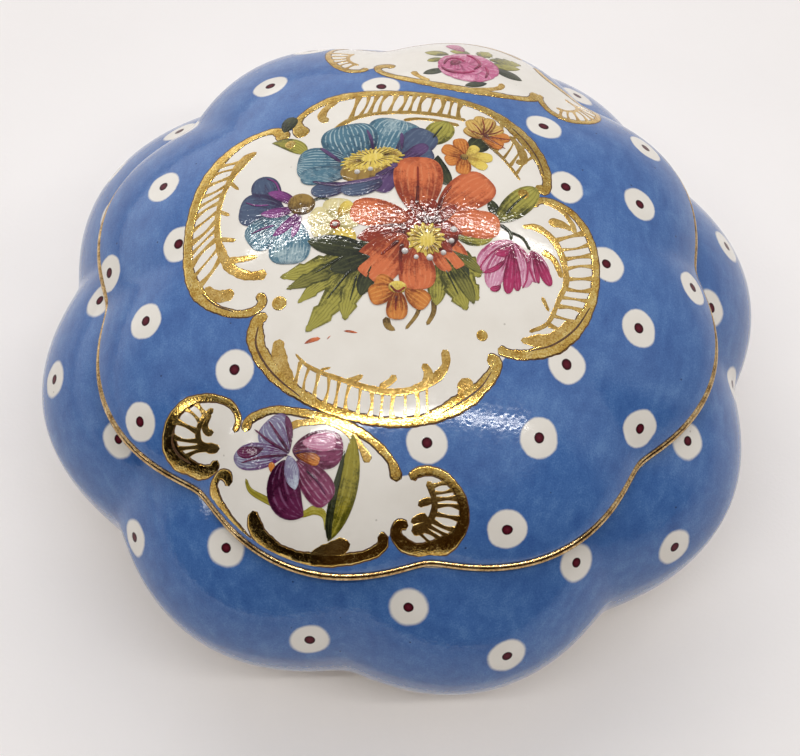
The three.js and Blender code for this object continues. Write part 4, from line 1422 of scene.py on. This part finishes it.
def lamps():
    """Two long strip lights overhead, behind and in front, and a small window at the left.

    Each lamp is its name, place, length, width, turn in degrees and power in watts.
    """
    strips = [
        ("strip_back", (-0.03, 0.27, 0.46), 0.66, 0.0095, 0, 0.88),
        ("strip_front", (0.045, -0.171, 0.46), 0.5, 0.0125, 4, 0.72),
        ("small_window", (-0.41, -0.19, 0.315), 0.05, 0.04, -68, 0.05),
    ]
    for name, where, length, width, turn, power in strips:
        light = bpy.data.lights.new(name, "AREA")
        light.shape = "RECTANGLE"
        light.size = length
        light.size_y = width
        light.energy = power
        light.color = (1.0, 0.98, 0.95)
        lamp = bpy.data.objects.new(name, light)
        lamp.location = where
        turn = math.radians(turn)
        tilt = -math.atan2(where[1] / math.cos(turn), where[2] - LIT_HEIGHT)
        lamp.rotation_euler = (tilt, 0, turn)
        bpy.context.scene.collection.objects.link(lamp)


def pale(level):
    """A very slightly cool grey."""
    return (level, level, level * 1.02, 1)


def tent():
    """A white tent round the box, brightest low at the back left and open, and so dark, at the front."""
    world = bpy.data.worlds.new("tent")
    bpy.context.scene.world = world
    world.use_nodes = True
    nodes = Nodes(world.node_tree, "Generated")
    x, y, z = nodes.split(nodes.place)
    # How bright the walls are from the horizon, at 0, up to the zenith, at 1.
    levels = [(0.0, 1.0), (0.12, 0.75), (0.3, 0.5), (0.45, 0.46), (0.6, 0.52), (1.0, 0.65)]
    walls = nodes.ramp(z, *[(height, pale(level)) for height, level in levels])
    low = nodes.spread(z, 0.45, 0.15)
    high_sides = nodes.spread(x * x, 0.1, 0.4) * nodes.spread(z, 0.3, 0.5)
    walls = nodes.mix(high_sides, walls, pale(0.7))
    back_left = low * nodes.spread(x, 0.2, -0.5) * nodes.spread(y, 0.1, 0.5)
    walls = nodes.mix(back_left, walls, pale(1.4))
    walls = nodes.mix(low * nodes.spread(x, 0.2, 0.6), walls, pale(0.5))
    room_left, room_right = (0.009, 0.006, 0.004, 1), (0.04, 0.022, 0.009, 1)
    room = nodes.mix(nodes.spread(x, -0.35, -0.1), room_left, room_right)
    front = nodes.spread(y, -0.12, -0.3) * nodes.spread(z, 0.0, 0.05) * nodes.spread(z, 0.76, 0.64)
    background = world.node_tree.nodes["Background"]
    nodes.feed(background.inputs["Color"], nodes.mix(front, walls, room))
    nodes.feed(background.inputs["Strength"], 0.97)


def camera():
    """The view of the photograph: high in front, with a slight roll."""
    elevation, roll, distance = math.radians(61.7), math.radians(1.7), 0.2765
    target = Vector((-0.00016, -0.0043, 0.02404))
    back = Vector((0, -math.cos(elevation), math.sin(elevation)))
    level = Vector((1, 0, 0))
    rise = back.cross(level)
    right = level * math.cos(roll) + rise * math.sin(roll)
    up = rise * math.cos(roll) - level * math.sin(roll)
    data = bpy.data.cameras.new("view")
    data.sensor_width = 36
    data.lens = 77.5
    data.clip_start = 0.01
    eye = bpy.data.objects.new("view", data)
    turn = Matrix((right, up, back)).transposed().to_4x4()
    eye.matrix_world = Matrix.Translation(target + back * distance) @ turn
    bpy.context.scene.collection.objects.link(eye)
    bpy.context.scene.camera = eye


def main():
    inside = white_glaze("white_glaze")
    gold = gilding("gilding", (178, 132, 58), (220, 182, 96), (246, 218, 144), 0.12)
    pale_gold = gilding("gilding_thin", (172, 132, 64), (212, 172, 94), (234, 202, 130), 0.15, metal=0.95)
    lip_gold = gilding("gilding_lip", (120, 90, 54), (192, 158, 106), (230, 204, 158), 0.14)
    lid_skin([painted_glaze("lid_blue_glaze", panels=True), inside, lip_gold])
    base_skin([painted_glaze("base_blue_glaze", panels=False), inside, bisque("bisque")])
    gilded_scrolls(gold, pale_gold, outline_brown("scroll_outline_brown"))
    for flower in (anemone, bell_flower, cream_flower, bouquet_leaves, coral_flower, tulips,
                   orange_flowers, iris, rose, enamel_beads):
        flower()
    bpy.context.scene.view_settings.view_transform = "Standard"
    table()
    lamps()
    tent()
    camera()


main()
